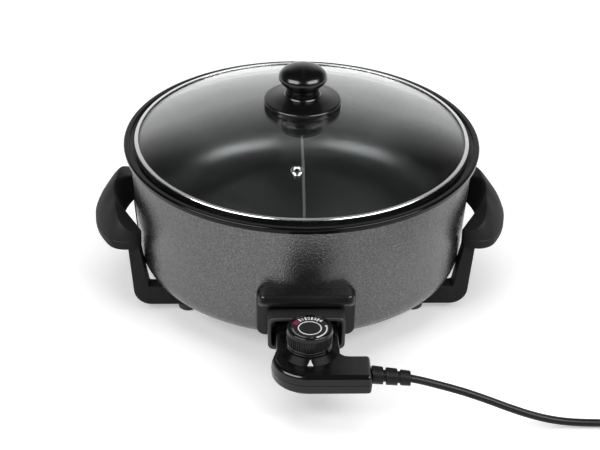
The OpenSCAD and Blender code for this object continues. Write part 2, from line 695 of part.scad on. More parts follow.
// Free stretch of the cord from the boot to the coil, in steps from the boot's end
lead_steps = [[0, 0], [7.3, 0], [15, -1.8], [24, -4.7], [36, -9], [50, -14.6], [66, -21.6], [82, -29],
    [98, -36], [114, -42.2], [130, -47.2], [146, -50.4], [162, -52]];
lead_fall = (plug_z - coil_z) / 53;
lead_end = coil_x - 2 * cord_d - boot_x;
lead_route = concat(
    [for (p = lead_steps) [boot_x + p[0], boot_y, plug_z + lead_fall * p[1]]],
    [for (f = [0.3, 0.6])
        [boot_x + mix(162, lead_end, f), boot_y, mix(plug_z - 52.6 * lead_fall, coil_z, f)]],
    [for (x = [2, 1]) [coil_x - x * cord_d, boot_y, coil_z]]);

// Coil: two layers, spiral in and out again, climbing where the spiral turns back
coil_n = 24;
coil_m = round(coil_turns * coil_n);
function coil_point(i) =
    let (t = coil_turns * i / coil_m, mid = coil_turns / 2, a = -90 + 360 * t,
        r = coil_r - coil_pitch * min(t, coil_turns - t), z = coil_z + layer_h * smooth((t - mid + 0.25) * 2))
    [coil_x + r * cos(a), coil_y + r * sin(a), z];
coil_route = concat([for (x = [1, 0.5]) [coil_x - x * cord_d, boot_y, coil_z]],
    [for (i = [0:coil_m]) coil_point(i)],
    [for (y = [0.5, 1]) [coil_x + coil_r, coil_y + y * cord_d, coil_z + layer_h]]);

// Least distance between turns that are at least half a turn apart
coil_gap = min([for (i = [0:coil_m - 8], j = [i + 12:coil_m + 4])
    norm(coil_route[i] - coil_route[j])]) - cord_d;
echo(coil_gap = coil_gap);

tail_route = [for (p = [[7.3, 0], [14.6, 0], [24, 0.12], [34, 0.45], [44, 0.82], [54.7, 1], [62, 1]])
    [tail_x, coil_y + p[0], mix(coil_z + layer_h, tail_z, p[1])]];

module cord_lead() at_pan() color([0.06, 0.06, 0.065]) tube(lead_route, cord_r, 10);

module cord_coil() at_pan() color([0.06, 0.06, 0.065]) tube(coil_route, cord_r, 6);

module cord_tail() at_pan() color([0.06, 0.06, 0.065]) tube(tail_route, cord_r, 10);

// Strap round both layers of the coil at its back
module cord_tie() at_pan() color([0.1, 0.1, 0.1]) {
    r0 = coil_r - coil_pitch * coil_turns / 2 - cord_r - 0.5;
    r1 = coil_r + cord_r + 0.5;
    h = cord_d + layer_h + 0.6;
    translate([coil_x, coil_y, 0]) rotate([90, 0, 225]) linear_extrude(7, center = true) difference() {
        translate([-r1 - tie_t, 0]) square([r1 - r0 + 2 * tie_t, h + 2 * tie_t]);
        translate([-r1, tie_t]) square([r1 - r0, h]);
    }
}

module mains_plug() at_pan() color([0.08, 0.08, 0.085]) translate([tail_x, tail_y, tail_z])
    rotate([-90, 0, 0]) rotate_extrude()
        polygon([[0, 0], [5.4, 0], [6.6, 10], [10, 14], [14, 17], [16.2, 21], [17.4, 28], [17.4, mains_l - 1],
            [16.9, mains_l], [0, mains_l]]);

module mains_pins() at_pan() color([0.78, 0.78, 0.8])
    for (x = [-1, 1]) translate([tail_x + x * 9.5, 0, tail_z]) {
        rod_y(2.4, tail_y + mains_l, tail_y + mains_l + mains_pin_l);
        translate([0, tail_y + mains_l + mains_pin_l, 0]) sphere(2.4, $fn = 32);
    }

// Outline of the ribbed dial
function dial_outline() = [for (i = [0:dial_ribs - 1], q = [[0, 0], [0.3, 0], [0.55, 0.8], [0.75, 0.8]])
    let (a = 360 * (i + q[0]) / dial_ribs, r = dial_r - 0.3 - q[1]) [r * cos(a), r * sin(a)]];

module dial_knob() at_pan() color([0.09, 0.09, 0.095]) translate([dial_x, dial_y, 0]) difference() {
    union() {
        translate([0, 0, boss_z + collar_h + 0.7])
            linear_extrude(dial_z - boss_z - collar_h - 3.5) polygon(dial_outline());
        rotate_extrude()
            polygon([[0, boss_z + slide_gap], [dial_r - 2, boss_z + slide_gap], [dial_r - 1.6, boss_z + 0.7],
                [dial_r - 1.6, boss_z + collar_h], [dial_r - 3, boss_z + collar_h + 1.2],
                [dial_r - 3, dial_z - 3.6], [dial_r, dial_z - 3], [dial_r, dial_z - 2],
                [dial_r - 0.6, dial_z - 0.6], [dial_r - 2, dial_z], [0, dial_z]]);
    }
    translate([0, 0, dial_z - 0.9]) cylinder(r = dial_r - 3.2, h = 3);
    cylinder(r = 3 + fit_gap, h = dial_z - 4);
}

module dial_disc() at_pan() color([0.12, 0.12, 0.125]) translate([dial_x, dial_y, dial_z - 0.9])
    cylinder(r = dial_r - 3.2 - fit_gap, h = 0.8);

module dial_spindle() at_pan() color([0.7, 0.7, 0.72]) translate([dial_x, dial_y, plug_z + 2.1])
    cylinder(r = 3, h = dial_z - 4 - plug_z - 2.1);

inner_pan();
housing();
pan_studs();
base_screws();
heating_element();
element_clamps();
probe_guide();
terminal_pins();
socket_plate();
socket_shroud();
socket_screws();
handle_left();
handle_right();
handle_screws();
handle_nuts();
foot_front_left();
foot_front_right();
foot_rear_left();
foot_rear_right();
lid_glass();
lid_band();
vent_eyelet();
knob_grip();
knob_flange();
knob_gasket();
knob_cup();
knob_screw();
plug_top();
plug_bottom();
plug_screws();
probe_rod();
pin_sockets();
thermostat_block();
bimetal_blade();
contact_blade();
cord_clamp();
cord_boot();
cord_lead();
cord_coil();
cord_tie();
cord_tail();
mains_plug();
mains_pins();
dial_knob();
dial_disc();
dial_spindle();
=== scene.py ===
# Electric grill pan: looks of the pan, its glass lid, its handles and feet, its thermostat plug and its cord.
# Metres, in the frame of the solids. Sizes in the sections are millimetres about the pan's axis.
import math

import bmesh
import bpy
from mathutils import Matrix, Vector


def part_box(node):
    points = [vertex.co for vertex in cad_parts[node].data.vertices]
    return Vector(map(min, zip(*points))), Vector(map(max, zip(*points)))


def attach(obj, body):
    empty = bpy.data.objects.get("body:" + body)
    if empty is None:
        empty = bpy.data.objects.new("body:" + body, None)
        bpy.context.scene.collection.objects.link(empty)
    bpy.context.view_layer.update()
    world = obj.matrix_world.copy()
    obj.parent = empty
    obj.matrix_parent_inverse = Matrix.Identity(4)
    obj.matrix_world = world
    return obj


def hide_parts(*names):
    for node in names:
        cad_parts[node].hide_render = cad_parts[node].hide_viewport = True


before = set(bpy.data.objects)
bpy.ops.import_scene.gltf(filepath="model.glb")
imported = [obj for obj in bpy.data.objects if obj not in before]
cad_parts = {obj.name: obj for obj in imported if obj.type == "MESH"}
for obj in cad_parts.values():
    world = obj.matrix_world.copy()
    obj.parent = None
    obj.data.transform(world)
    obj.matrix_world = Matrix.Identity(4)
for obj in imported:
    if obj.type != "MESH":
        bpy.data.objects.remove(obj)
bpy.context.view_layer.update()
scene = bpy.context.scene
scene.view_settings.view_transform = "Standard"

# Camera
# A long lens at the front, a little left of the plug, looking down into the pan.
camera_place = (-0.0692, -1.5385, 1.0172)
camera_turn = -2.5
camera_pitch = 30.956
camera_roll = 1.15
camera_data = bpy.data.cameras.new("camera")
camera_data.lens = 106.62
camera_data.sensor_width = 36.0
camera_data.sensor_fit = "HORIZONTAL"


def put_in(name, data):
    """Object of a mesh, lamp, text or camera, put into the scene"""
    thing = bpy.data.objects.new(name, data)
    scene.collection.objects.link(thing)
    return thing


camera = put_in("camera", camera_data)
camera.matrix_world = (
    Matrix.Translation(camera_place)
    @ Matrix.Rotation(math.radians(camera_turn), 4, "Z")
    @ Matrix.Rotation(math.radians(90 - camera_pitch), 4, "X")
    @ Matrix.Rotation(math.radians(camera_roll), 4, "Z")
)
scene.camera = camera

# Studio
# White table, a white room that is bright behind the pan and dark overhead, a soft box at each front side.
# A wide lamp overhead gives plain light only; the boxes' faces show only in gloss, and a thin strip overhead
# is hidden from the eye.
table_half = 6.0
table_white = 0.92
table_glow = 0.4
far_glow = 1.0
glow_start, glow_end = 0.7, 3.0
box_place = (1.2, -0.86, 1.3)
box_way = (0.71, 0.66, -0.23)
box_aim = (0, 0.05, 0.1)
box_length = 1.5
box_width = 0.95
box_power = 11.0
gloss_power = 52.0
lamp_length = 1.1
lamp_width = 0.4
lamp_shift = 0.3
top_power = 28.0
top_width = 2.2
top_height = 2.6
strip_height = 2.2
strip_half = 0.014
strip_near = (0.045, -0.1)
strip_far = (0.095, 2.6)
room_fill = 0.24
room_dark = 0.04
aside_start, aside_end, aside_rise = 0.29, 0.57, 0.35
behind_start, behind_end = 0.15, 0.55
room_levels = (
    (0.0, 1.15), (0.35, 1.15), (0.46, 0.86), (0.56, 0.56), (0.656, 0.34), (0.73, 0.16), (0.82, 0.04),
)


def add_node(tree, kind, *values, setup=(), **named):
    """New node whose inputs, by order or by name, get plain values or links from other nodes' outputs"""
    node = tree.nodes.new(kind)
    for key, value in dict(setup).items():
        setattr(node, key, value)
    named = {label.replace("_", " "): value for label, value in named.items()}
    for key, value in [*enumerate(values), *named.items()]:
        if isinstance(value, bpy.types.NodeSocket):
            tree.links.new(value, node.inputs[key])
        else:
            node.inputs[key].default_value = value
    return node


def maths(tree, operation, *values):
    return add_node(tree, "ShaderNodeMath", *values, setup={"operation": operation}).outputs[0]


def remap(tree, value, **ends):
    """Value moved from one range to another"""
    return add_node(tree, "ShaderNodeMapRange", value, **ends).outputs[0]


def new_material(name):
    material = bpy.data.materials.new(name)
    material.use_nodes = True
    return material, material.node_tree


def seen_by_eye_or_gloss(tree):
    """One where the ray comes from the camera, a gloss or a clear piece"""
    path = add_node(tree, "ShaderNodeLightPath").outputs
    seen = maths(tree, "MAXIMUM", path["Is Camera Ray"], path["Is Glossy Ray"])
    return maths(tree, "MAXIMUM", seen, path["Is Transmission Ray"])


def flat_panel(name, corners, material):
    mesh = bpy.data.meshes.new(name)
    mesh.from_pydata(corners, [], [(0, 1, 2, 3)])
    mesh.materials.append(material)
    panel = put_in(name, mesh)
    return panel


def table_top():
    """White cloth with a glow for the eye that grows with the distance from the pan"""
    material, tree = new_material("white_table")
    tree.nodes.clear()
    place = add_node(tree, "ShaderNodeTexCoord").outputs["Object"]
    away = add_node(tree, "ShaderNodeVectorMath", place, setup={"operation": "LENGTH"}).outputs["Value"]
    reach = remap(tree, away, From_Min=glow_start, From_Max=glow_end, To_Min=table_glow, To_Max=far_glow)
    seen = seen_by_eye_or_gloss(tree)
    glow = add_node(tree, "ShaderNodeEmission", Strength=maths(tree, "MULTIPLY", seen, reach))
    cloth = add_node(tree, "ShaderNodeBsdfDiffuse", Color=(table_white, table_white, table_white, 1))
    both = add_node(tree, "ShaderNodeAddShader", cloth.outputs[0], glow.outputs[0])
    add_node(tree, "ShaderNodeOutputMaterial", Surface=both.outputs[0])
    return material


def glowing(name, level):
    material, tree = new_material(name)
    tree.nodes.clear()
    glow = add_node(tree, "ShaderNodeEmission", Strength=level)
    add_node(tree, "ShaderNodeOutputMaterial", Surface=glow.outputs[0])
    return material


def area_lamp(name, length, width, power):
    lamp = bpy.data.lights.new(name, "AREA")
    lamp.shape = "RECTANGLE"
    lamp.size = length
    lamp.size_y = width
    lamp.energy = power
    return put_in(name, lamp)


def soft_box(side, name):
    """Lamp at one front side, turned to the pan, with a larger face that only glosses see"""
    place = Vector((side * box_place[0], box_place[1], box_place[2]))
    back = (place - Vector(box_aim)).normalized()
    across = back.cross(Vector((side * box_way[0], box_way[1], box_way[2]))).normalized()
    along = across.cross(back)
    turn = Matrix((along, across, back)).transposed().to_4x4()
    box = area_lamp(name, lamp_length, lamp_width, box_power)
    box.matrix_world = Matrix.Translation(place - along * lamp_shift) @ turn
    face = area_lamp(name + "_face", box_length, box_width, gloss_power)
    face.matrix_world = Matrix.Translation(place) @ turn
    face.visible_diffuse = False


def top_lamp():
    """Wide lamp that lights plain surfaces from above and shows in no gloss"""
    box = area_lamp("top_lamp", top_width, top_width, top_power)
    box.location = (0, 0, top_height)
    box.visible_glossy = False
    box.visible_transmission = False


def room():
    """World that is white to the eye, white only behind the pan in a gloss, and even for plain light"""
    world = bpy.data.worlds.new("room")
    world.use_nodes = True
    tree = world.node_tree
    place = add_node(tree, "ShaderNodeTexCoord").outputs["Generated"]
    way = add_node(tree, "ShaderNodeSeparateXYZ", place).outputs
    aside = maths(tree, "ABSOLUTE", way["X"])
    aside = remap(tree, aside, From_Min=aside_start, From_Max=aside_end, To_Max=aside_rise)
    fade = add_node(tree, "ShaderNodeValToRGB", maths(tree, "ADD", way["Z"], aside))
    stops = fade.color_ramp.elements
    while len(stops) < len(room_levels):
        stops.new(0.5)
    for stop, (rise, level) in zip(stops, room_levels):
        stop.position = rise
        stop.color = (level, level, level, 1)
    behind = remap(tree, way["Y"], From_Min=behind_start, From_Max=behind_end)
    backdrop = maths(tree, "MAXIMUM", maths(tree, "MULTIPLY", fade.outputs["Color"], behind), room_dark)
    path = add_node(tree, "ShaderNodeLightPath").outputs
    in_gloss = remap(tree, path["Is Glossy Ray"], To_Min=room_fill, To_Max=backdrop)
    in_glass = remap(tree, path["Is Transmission Ray"], To_Min=in_gloss, To_Max=fade.outputs["Color"])
    background = tree.nodes["Background"]
    tree.links.new(remap(tree, path["Is Camera Ray"], To_Min=in_glass), background.inputs["Strength"])
    background.inputs["Color"].default_value = (1, 1, 1, 1)
    return world


table_corners = [(x * table_half, y * table_half, 0) for x, y in ((-1, -1), (1, -1), (1, 1), (-1, 1))]
flat_panel("table", table_corners, table_top())
strip_ends = ((-1, strip_near), (-1, strip_far), (1, strip_far), (1, strip_near))
strip_corners = [(x + side * strip_half, y, strip_height) for side, (x, y) in strip_ends]
strip = flat_panel("overhead_strip", strip_corners, glowing("strip_light", 1.0))
strip.visible_camera = False
soft_box(-1, "soft_box_left")
soft_box(1, "soft_box_right")
top_lamp()
scene.world = room()

# Inner pan
# Deep aluminium pan with a rolled rim and a ledge that carries the lid.
# Cast in one piece with a fine-grained black non-stick coat inside and a smoother one over the rim.
mm = 0.001
pan_lo, pan_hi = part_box("inner_pan")
axis_y = (pan_lo.y + pan_hi.y) / 2
rim_r = (pan_hi.x - pan_lo.x) / 2 / mm
rim_h = pan_hi.z / mm
floor_z = rim_h - 100
band_z = rim_h - 6
ledge_z = rim_h - 4
step_r = rim_r - 6
pan_in_r = step_r - 10
pan_low_r = pan_in_r - 8
pan_wall = 3.5
pan_corner_r = 25
bowl_r = pan_corner_r + 10
fine_steps = 192
noise_low, noise_high = 0.3, 0.7
sharp_edge = 32


def arc(cx, cy, r, a0, a1, n):
    """Points of a circular arc, both ends included"""
    turn = [math.radians(a0 + (a1 - a0) * i / n) for i in range(n + 1)]
    return [(cx + r * math.cos(a), cy + r * math.sin(a)) for a in turn]


def rounded(corners, closed=False, n=6):
    """Outline through corners (x, y) or (x, y, fillet), with each fillet drawn as an arc"""
    points = []
    for i, corner in enumerate(corners):
        here = Vector(corner[:2])
        if len(corner) < 3 or (not closed and i in (0, len(corners) - 1)):
            points.append(tuple(here))
            continue
        back = (Vector(corners[i - 1][:2]) - here).normalized()
        ahead = (Vector(corners[(i + 1) % len(corners)][:2]) - here).normalized()
        half = math.acos(max(-1, min(1, back.dot(ahead)))) / 2
        middle = here + (back + ahead).normalized() * corner[2] / math.sin(half)
        reach = corner[2] / math.tan(half)
        first, last = here + back * reach - middle, here + ahead * reach - middle
        turn = first.angle_signed(last)
        for k in range(n + 1):
            points.append(tuple(middle + Matrix.Rotation(-turn * k / n, 2) @ first))
    return points


def upright(x, y):
    """Places turned points on an upright axis"""
    return lambda u, v, h: (x + u, y + v, h)


def lathe(profile, place=upright(0, 0), steps=128):
    """Points and faces of a profile of (radius, height) turned about an axis, as a closed skin"""
    loop = profile[0][0] > 0 or profile[-1][0] > 0
    rows = len(profile)
    points = []
    for r, h in profile:
        for k in range(steps):
            a = 2 * math.pi * k / steps
            points.append(place(r * math.cos(a), r * math.sin(a), h))
    faces = []
    for j in range(rows if loop else rows - 1):
        a, b = j * steps, (j + 1) % rows * steps
        for k in range(steps):
            m = (k + 1) % steps
            faces.append((a + k, a + m, b + m, b + k))
    return points, faces


def solid(name, shape):
    """Object with a clean mesh of points and faces in millimetres about the pan's axis"""
    points, faces = shape
    mesh = bpy.data.meshes.new(name)
    mesh.from_pydata([(x * mm, y * mm + axis_y, z * mm) for x, y, z in points], [], faces)
    clean = bmesh.new()
    clean.from_mesh(mesh)
    bmesh.ops.remove_doubles(clean, verts=clean.verts, dist=1e-6)
    bmesh.ops.dissolve_degenerate(clean, edges=clean.edges, dist=1e-7)
    bmesh.ops.recalc_face_normals(clean, faces=clean.faces)
    clean.to_mesh(mesh)
    clean.free()
    return put_in(name, mesh)


def even_shade(piece, sharp):
    """Smooth shading that keeps flats flat beside their rounded edges"""
    piece.data.polygons.foreach_set("use_smooth", [True] * len(piece.data.polygons))
    piece.data.set_sharp_from_angle(angle=math.radians(sharp))
    shade = piece.modifiers.new("even_shade", "WEIGHTED_NORMAL")
    shade.keep_sharp = True


def belong(piece, body, slot, *replaced):
    """Attaches a piece to what it rides on and hides the solids it stands for; its finish slot is not used"""
    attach(piece, body)
    if replaced:
        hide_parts(*replaced)


def add_piece(name, shape, material, body, slot, replaced=(), sharp=sharp_edge):
    """Makes one piece of points and faces, smooth but for its sharp edges"""
    piece = solid(name, shape)
    piece.data.materials.append(material)
    even_shade(piece, sharp)
    belong(piece, body, slot, *replaced)
    return piece


def add_sockets(tree, way, kind, *names):
    for name in names:
        tree.interface.new_socket(name, in_out=way, socket_type="NodeSocket" + kind)


def grain_group():
    """Fine grain for a bump and a slow mottle for colour and roughness, both from 0 to 1"""
    group = bpy.data.node_groups.new("surface_grain", "ShaderNodeTree")
    add_sockets(group, "INPUT", "Vector", "Vector")
    add_sockets(group, "INPUT", "Float", "Grain scale", "Mottle scale")
    add_sockets(group, "OUTPUT", "Float", "Grain", "Mottle")
    source = group.nodes.new("NodeGroupInput").outputs
    result = group.nodes.new("NodeGroupOutput").inputs
    for label, detail in (("Grain", 3), ("Mottle", 2)):
        noise = add_node(group, "ShaderNodeTexNoise", Vector=source["Vector"], Scale=source[label + " scale"],
                         Detail=detail)
        spread = remap(group, noise.outputs["Fac"], From_Min=noise_low, From_Max=noise_high)
        group.links.new(spread, result[label])
    return group


surface_grain = grain_group()


def tint(tone):
    """Colour with alpha, from one grey level or from red, green and blue"""
    return (tone, tone, tone, 1) if isinstance(tone, float) else (*tone, 1)


def finish(name, dark, light, rough, grain, depth, mottle=18.0, **plain):
    """Finish whose colour and roughness drift with the mottle and whose grain goes to the bump"""
    material, tree = new_material(name)
    shader = tree.nodes["Principled BSDF"].inputs
    for socket, value in plain.items():
        shader[socket.replace("_", " ")].default_value = value
    place = add_node(tree, "ShaderNodeTexCoord").outputs["Object"]
    texture = add_node(tree, "ShaderNodeGroup", setup={"node_tree": surface_grain}, Vector=place,
                       Grain_scale=grain, Mottle_scale=mottle).outputs
    colour = add_node(tree, "ShaderNodeMix", setup={"data_type": "RGBA"}, A=tint(dark), B=tint(light),
                      Factor=texture["Mottle"])
    tree.links.new(colour.outputs["Result"], shader["Base Color"])
    tree.links.new(remap(tree, texture["Mottle"], To_Min=rough[0], To_Max=rough[1]), shader["Roughness"])
    bump = add_node(tree, "ShaderNodeBump", Distance=depth * mm, Height=texture["Grain"])
    tree.links.new(bump.outputs[0], shader["Normal"])
    return material


nonstick_coat = finish("nonstick_coat", 0.002, 0.005, (0.31, 0.37), 900, 0.03, Specular_IOR_Level=0.62)
smooth_rim = finish("smooth_rim", 0.002, 0.003, (0.12, 0.16), 900, 0.004, Specular_IOR_Level=0.15)
corner = (pan_low_r - pan_corner_r, floor_z + pan_corner_r)
pan_profile = (
    [(0, floor_z)]
    + arc(pan_low_r - bowl_r, floor_z + bowl_r, bowl_r, -90, 0, 20)
    + rounded(
        [
            (pan_low_r, floor_z + bowl_r), (pan_in_r, ledge_z, 1.4),
            (pan_in_r + pan_wall, ledge_z - 0.05), (pan_in_r + pan_wall, band_z),
        ]
    )
    + arc(*corner, pan_corner_r + pan_wall, 0, -90, 16)
    + [(0, floor_z - pan_wall)]
)
rim_profile = rounded(
    [
        (pan_in_r + 2, ledge_z), (pan_in_r + 5, ledge_z, 1.2), (step_r - 0.4, ledge_z + 1.9, 0.8),
        (step_r, rim_h, 0.9), (rim_r, rim_h, 1.9), (rim_r - 1.2, band_z, 0.5), (pan_in_r + 2, band_z),
    ],
    closed=True,
)
pan_skin = lathe(pan_profile, steps=fine_steps)
add_piece("inner_pan_coated", pan_skin, nonstick_coat, "pan", "nonstick", ["inner_pan"])
add_piece("pan_rim", lathe(rim_profile, steps=fine_steps), smooth_rim, "pan", "nonstick")

# Housing
# Pressed steel bowl round the pan, with a wide bottom corner and a slight lean to its wall.
# Painted outside with a metallic hammer finish whose small dimples break up the light.
base_z = rim_h - 139
wall_top_r = rim_r - 6
wall_low_r = wall_top_r - 7.5
housing_corner_r = 28
corner_z = base_z + housing_corner_r
housing_t = 1.2
dimple_scale = 700
dimple_depth = 0.24
dimple_low, dimple_high = 0.1, 0.7


def hammer_paint():
    """Metallic paint whose small dimples change its tone and its slope"""
    material = finish("hammer_paint", 0.078, 0.155, (0.24, 0.3), 900, 0.02, 60.0, Metallic=0.9)
    tree, nodes = material.node_tree, material.node_tree.nodes
    dimples = add_node(tree, "ShaderNodeTexVoronoi", setup={"feature": "SMOOTH_F1"}, Scale=dimple_scale,
                       Vector=nodes["Texture Coordinate"].outputs["Object"]).outputs["Distance"]
    tone = remap(tree, dimples, From_Min=dimple_low, From_Max=dimple_high)
    tree.links.new(tone, nodes["Mix"].inputs["Factor"])
    bump = add_node(tree, "ShaderNodeBump", Distance=dimple_depth * mm, Height=dimples,
                    Normal=nodes["Bump"].outputs[0])
    tree.links.new(bump.outputs[0], nodes["Principled BSDF"].inputs["Normal"])
    return material


wall_corner = (wall_low_r - housing_corner_r, corner_z)
housing_profile = (
    [(0, base_z)]
    + arc(*wall_corner, housing_corner_r, -90, 0, 20)
    + [(wall_top_r, band_z), (wall_top_r - housing_t, band_z)]
    + arc(*wall_corner, housing_corner_r - housing_t, 0, -90, 20)
    + [(0, base_z + housing_t)]
)
housing_skin = lathe(housing_profile, steps=fine_steps)
add_piece("housing_painted", housing_skin, hammer_paint(), "pan", "hammertone", ["housing"])

# Heating ring and the pieces between pan and housing
# Sheathed ring, its straps, the probe's sleeve and three posts, all of plain steel under the pan's floor.
# They keep the solids' own shapes and only get their metal finish.
bright_steel = finish("bright_steel", 0.5, 0.6, (0.25, 0.4), 700, 0.01, Metallic=1.0)
burnt_sheath = finish(
    "burnt_sheath", (0.06, 0.05, 0.045), (0.12, 0.1, 0.09), (0.4, 0.6), 500, 0.05, Metallic=0.8
)
pin_brass = finish("pin_brass", (0.55, 0.38, 0.12), (0.66, 0.48, 0.18), (0.2, 0.35), 700, 0.01, Metallic=1.0)


def dress(material, *names):
    for name in names:
        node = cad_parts[name]
        node.data.materials.clear()
        node.data.materials.append(material)


dress(burnt_sheath, "heating_element")
dress(bright_steel, "pan_studs", "element_clamps", "probe_guide", "handle_nuts", "handle_screws")
dress(pin_brass, "terminal_pins")

# Socket
# Moulded plate with a rounded visor, and a rectangular sleeve that takes the plug's nose.
# Both are black moulding, screwed through the sleeve's floor to the housing's front.
sock_z = floor_z - pan_wall - 3.5 - 0.3 - 1.5


def wall_r(z):
    """Radius of the housing's outside at a height"""
    if z < corner_z:
        return wall_low_r - housing_corner_r + math.sqrt(housing_corner_r**2 - (corner_z - z) ** 2)
    return wall_low_r + (wall_top_r - wall_low_r) * (z - corner_z) / (band_z - corner_z)


wall_y = -wall_r(sock_z)
plate_w, plate_h = 95, 51.4
plate_corner_r, plate_edge_r = 9, 2.2
plate_low_z = sock_z - 15
plate_y = wall_y - 5
visor_y = wall_y - 17
visor_h, visor_back, visor_end_r = 16, 6, 8
sleeve_w, sleeve_h, sleeve_t = 73.6, 35.6, 3.4
sleeve_corner_r, sleeve_inner_r = 6, 4.3
sleeve_y = wall_y - 25
web_y = wall_y - 4
wall_seat = 0.4
black_moulding = finish("black_moulding", 0.008, 0.012, (0.2, 0.26), 1500, 0.01, Specular_IOR_Level=0.28)


def rounded_box(w, h, r):
    """Outline of a rounded rectangle about its middle"""
    x, y = w / 2, h / 2
    return rounded([(x, -y, r), (x, y, r), (-x, y, r), (-x, -y, r)], closed=True, n=6)


def loft(rings, caps=True):
    """Points and faces of a skin through rings of equal count"""
    n = len(rings[0])
    points = [point for ring in rings for point in ring]
    faces = []
    for j in range(len(rings) - 1):
        for i in range(n):
            k = (i + 1) % n
            faces.append((j * n + i, j * n + k, j * n + n + k, j * n + n + i))
    if caps:
        faces.append(tuple(range(n - 1, -1, -1)))
        faces.append(tuple(range(len(points) - n, len(points))))
    return points, faces


def join(*shapes):
    """Points and faces of several skins as one"""
    points, faces = [], []
    for more_points, more_faces in shapes:
        start = len(points)
        points += more_points
        faces += [tuple(start + i for i in face) for face in more_faces]
    return points, faces


def edge_steps(r, n=4):
    """Insets and depths of a rounded edge, from the face's edge to the side"""
    turns = [math.pi / 2 * i / n for i in range(n + 1)]
    return [(r * (1 - math.sin(a)), r * (1 - math.cos(a))) for a in turns]


def front_ring(w, h, r, inset, y, z):
    return [(px, y, z + pz) for px, pz in rounded_box(w - 2 * inset, h - 2 * inset, max(0.4, r - inset))]


def seat_rings(w, h, r, front_y, z):
    """Rings of a back face that lies on the housing's front, from its outline to its middle"""
    rings = []
    for inset in (0, h / 6, h / 3, h / 2 - 0.5):
        ring = front_ring(w, h, r, inset, 0, z)
        seats = [wall_seat - math.sqrt(wall_r(pz) ** 2 - x**2) for x, _, pz in ring]
        rings.append([(x, max(front_y, seat), pz) for (x, _, pz), seat in zip(ring, seats)])
    return rings


def socket_plate():
    size = (plate_w, plate_h, plate_corner_r)
    middle_z = plate_low_z + plate_h / 2
    rings = [front_ring(*size, inset, plate_y + depth, middle_z) for inset, depth in edge_steps(plate_edge_r)]
    return loft(rings + seat_rings(*size, plate_y + plate_edge_r + 0.2, middle_z))


def visor():
    """Rounded bar along the plate's top, drawn in at both ends"""
    top = plate_low_z + plate_h
    back = plate_y + visor_back
    section = rounded(
        [
            (back, top), (visor_y + 3.5, top - 0.6, 4), (visor_y, top - 7.5, 2.4),
            (visor_y + 3.5, top - 13, 3), (plate_y, top - visor_h, 2), (back, top - visor_h),
        ]
    )
    rings = []
    stations = [visor_end_r * (1 - math.cos(math.pi / 2 * i / 8)) for i in range(9)]
    for side in (-1, 1):
        row = []
        for s in stations:
            part = math.sqrt(max(0.0, 1 - (1 - s / visor_end_r) ** 2))
            drop = visor_end_r * (1 - part) * 0.8
            x = side * (plate_w / 2 - s)
            ring = []
            for y, z in section:
                lift = (z - top + visor_h) / visor_h
                ring.append((x, back + (y - back) * (0.3 + 0.7 * part), z - drop * lift))
            row.append(ring)
        rings += row if side < 0 else row[::-1]
    return loft(rings)


def sleeve():
    size = (sleeve_w, sleeve_h, sleeve_corner_r)
    inner = (sleeve_w - 2 * sleeve_t, sleeve_h - 2 * sleeve_t, sleeve_inner_r)
    outer = seat_rings(*size, web_y + 0.2, sock_z)[::-1]
    outer += [front_ring(*size, inset, sleeve_y + depth, sock_z) for inset, depth in edge_steps(1.0)[::-1]]
    lip = [front_ring(*inner, -inset, sleeve_y + depth, sock_z) for inset, depth in edge_steps(0.8)]
    return loft(outer + lip + [front_ring(*inner, 0, web_y, sock_z)])


plate_with_visor = join(socket_plate(), visor())
add_piece("socket_plate_moulded", plate_with_visor, black_moulding, "pan", "black_moulding", ["socket_plate"])
# The sleeve is the same black moulding as the plate, painted paler and duller here: the paler colour is
# painted light on its top, which lies in the visor's shade.
sleeve_satin = finish("sleeve_satin", 0.016, 0.022, (0.42, 0.5), 1500, 0.01)
add_piece("socket_sleeve", sleeve(), sleeve_satin, "pan", "black_moulding", ["socket_shroud"])
black_steel = finish("black_steel", 0.03, 0.05, (0.4, 0.5), 700, 0.01, Metallic=1.0)
dress(black_steel, "socket_screws")

# Handles with legs
# One moulding each side: a crescent grip whose sunk arms turn in to the wall, two legs and their foot bars.
# Black phenolic with a fine satin grain, screwed to the housing's floor through the foot bars.
handle_reach = 31
grip_curve_r = 112
grip_end_r = 20
grip_x = rim_r + handle_reach - grip_curve_r
grip_in_x = rim_r + handle_reach - 20.5
finger_x = wall_low_r + 15
ridge_z = rim_h - 55.5
grip_z = ridge_z - 36
lip_z = grip_z + 8.6
leg_w = 17
leg_y = 53.5
arm_out_y = leg_y + leg_w / 2 + 5.2
arm_tip = Vector((wall_low_r - 4.7, leg_y + 0.5))
end_turn = math.degrees(math.asin((arm_out_y - grip_end_r) / (grip_curve_r - grip_end_r)))
end_x = grip_x + (grip_curve_r - grip_end_r) * math.cos(math.radians(end_turn))
end_share = 0.56
arm_turn = 138
grip_steps = 40
small_steps = 64
leg_out_x = wall_low_r + 8
leg_top_z = grip_z + 2.5
leg_edge_r, leg_corner_r, leg_bend_r = 1.6, 2.2, 18
bar_top_z = base_z - 0.4
foot_x = rim_r - 64
foot_r = 10
foot_h = base_z - 21.4
satin_phenolic = finish("satin_phenolic", 0.014, 0.018, (0.55, 0.6), 1100, 0.03, Specular_IOR_Level=0.12)


def mix(a, b, share):
    return a + (b - a) * share


def ease(share):
    share = min(1, max(0, share))
    return share * share * (3 - 2 * share)


def bend(a, b, c, d, share):
    """Point on a curve that leaves a towards b and reaches d from c"""
    rest = 1 - share
    return rest**3 * a + 3 * rest**2 * share * b + 3 * rest * share**2 * c + share**3 * d


def grip_outer(share):
    """Plan of the grip's outer edge from its middle to the tip of one arm"""
    if share < end_share:
        turn = math.radians(end_turn * share / end_share)
        return Vector((grip_x + grip_curve_r * math.cos(turn), grip_curve_r * math.sin(turn)))
    turn = math.radians(mix(end_turn, arm_turn, (share - end_share) / (1 - end_share)))
    return Vector((end_x + grip_end_r * math.cos(turn), arm_out_y - grip_end_r + grip_end_r * math.sin(turn)))


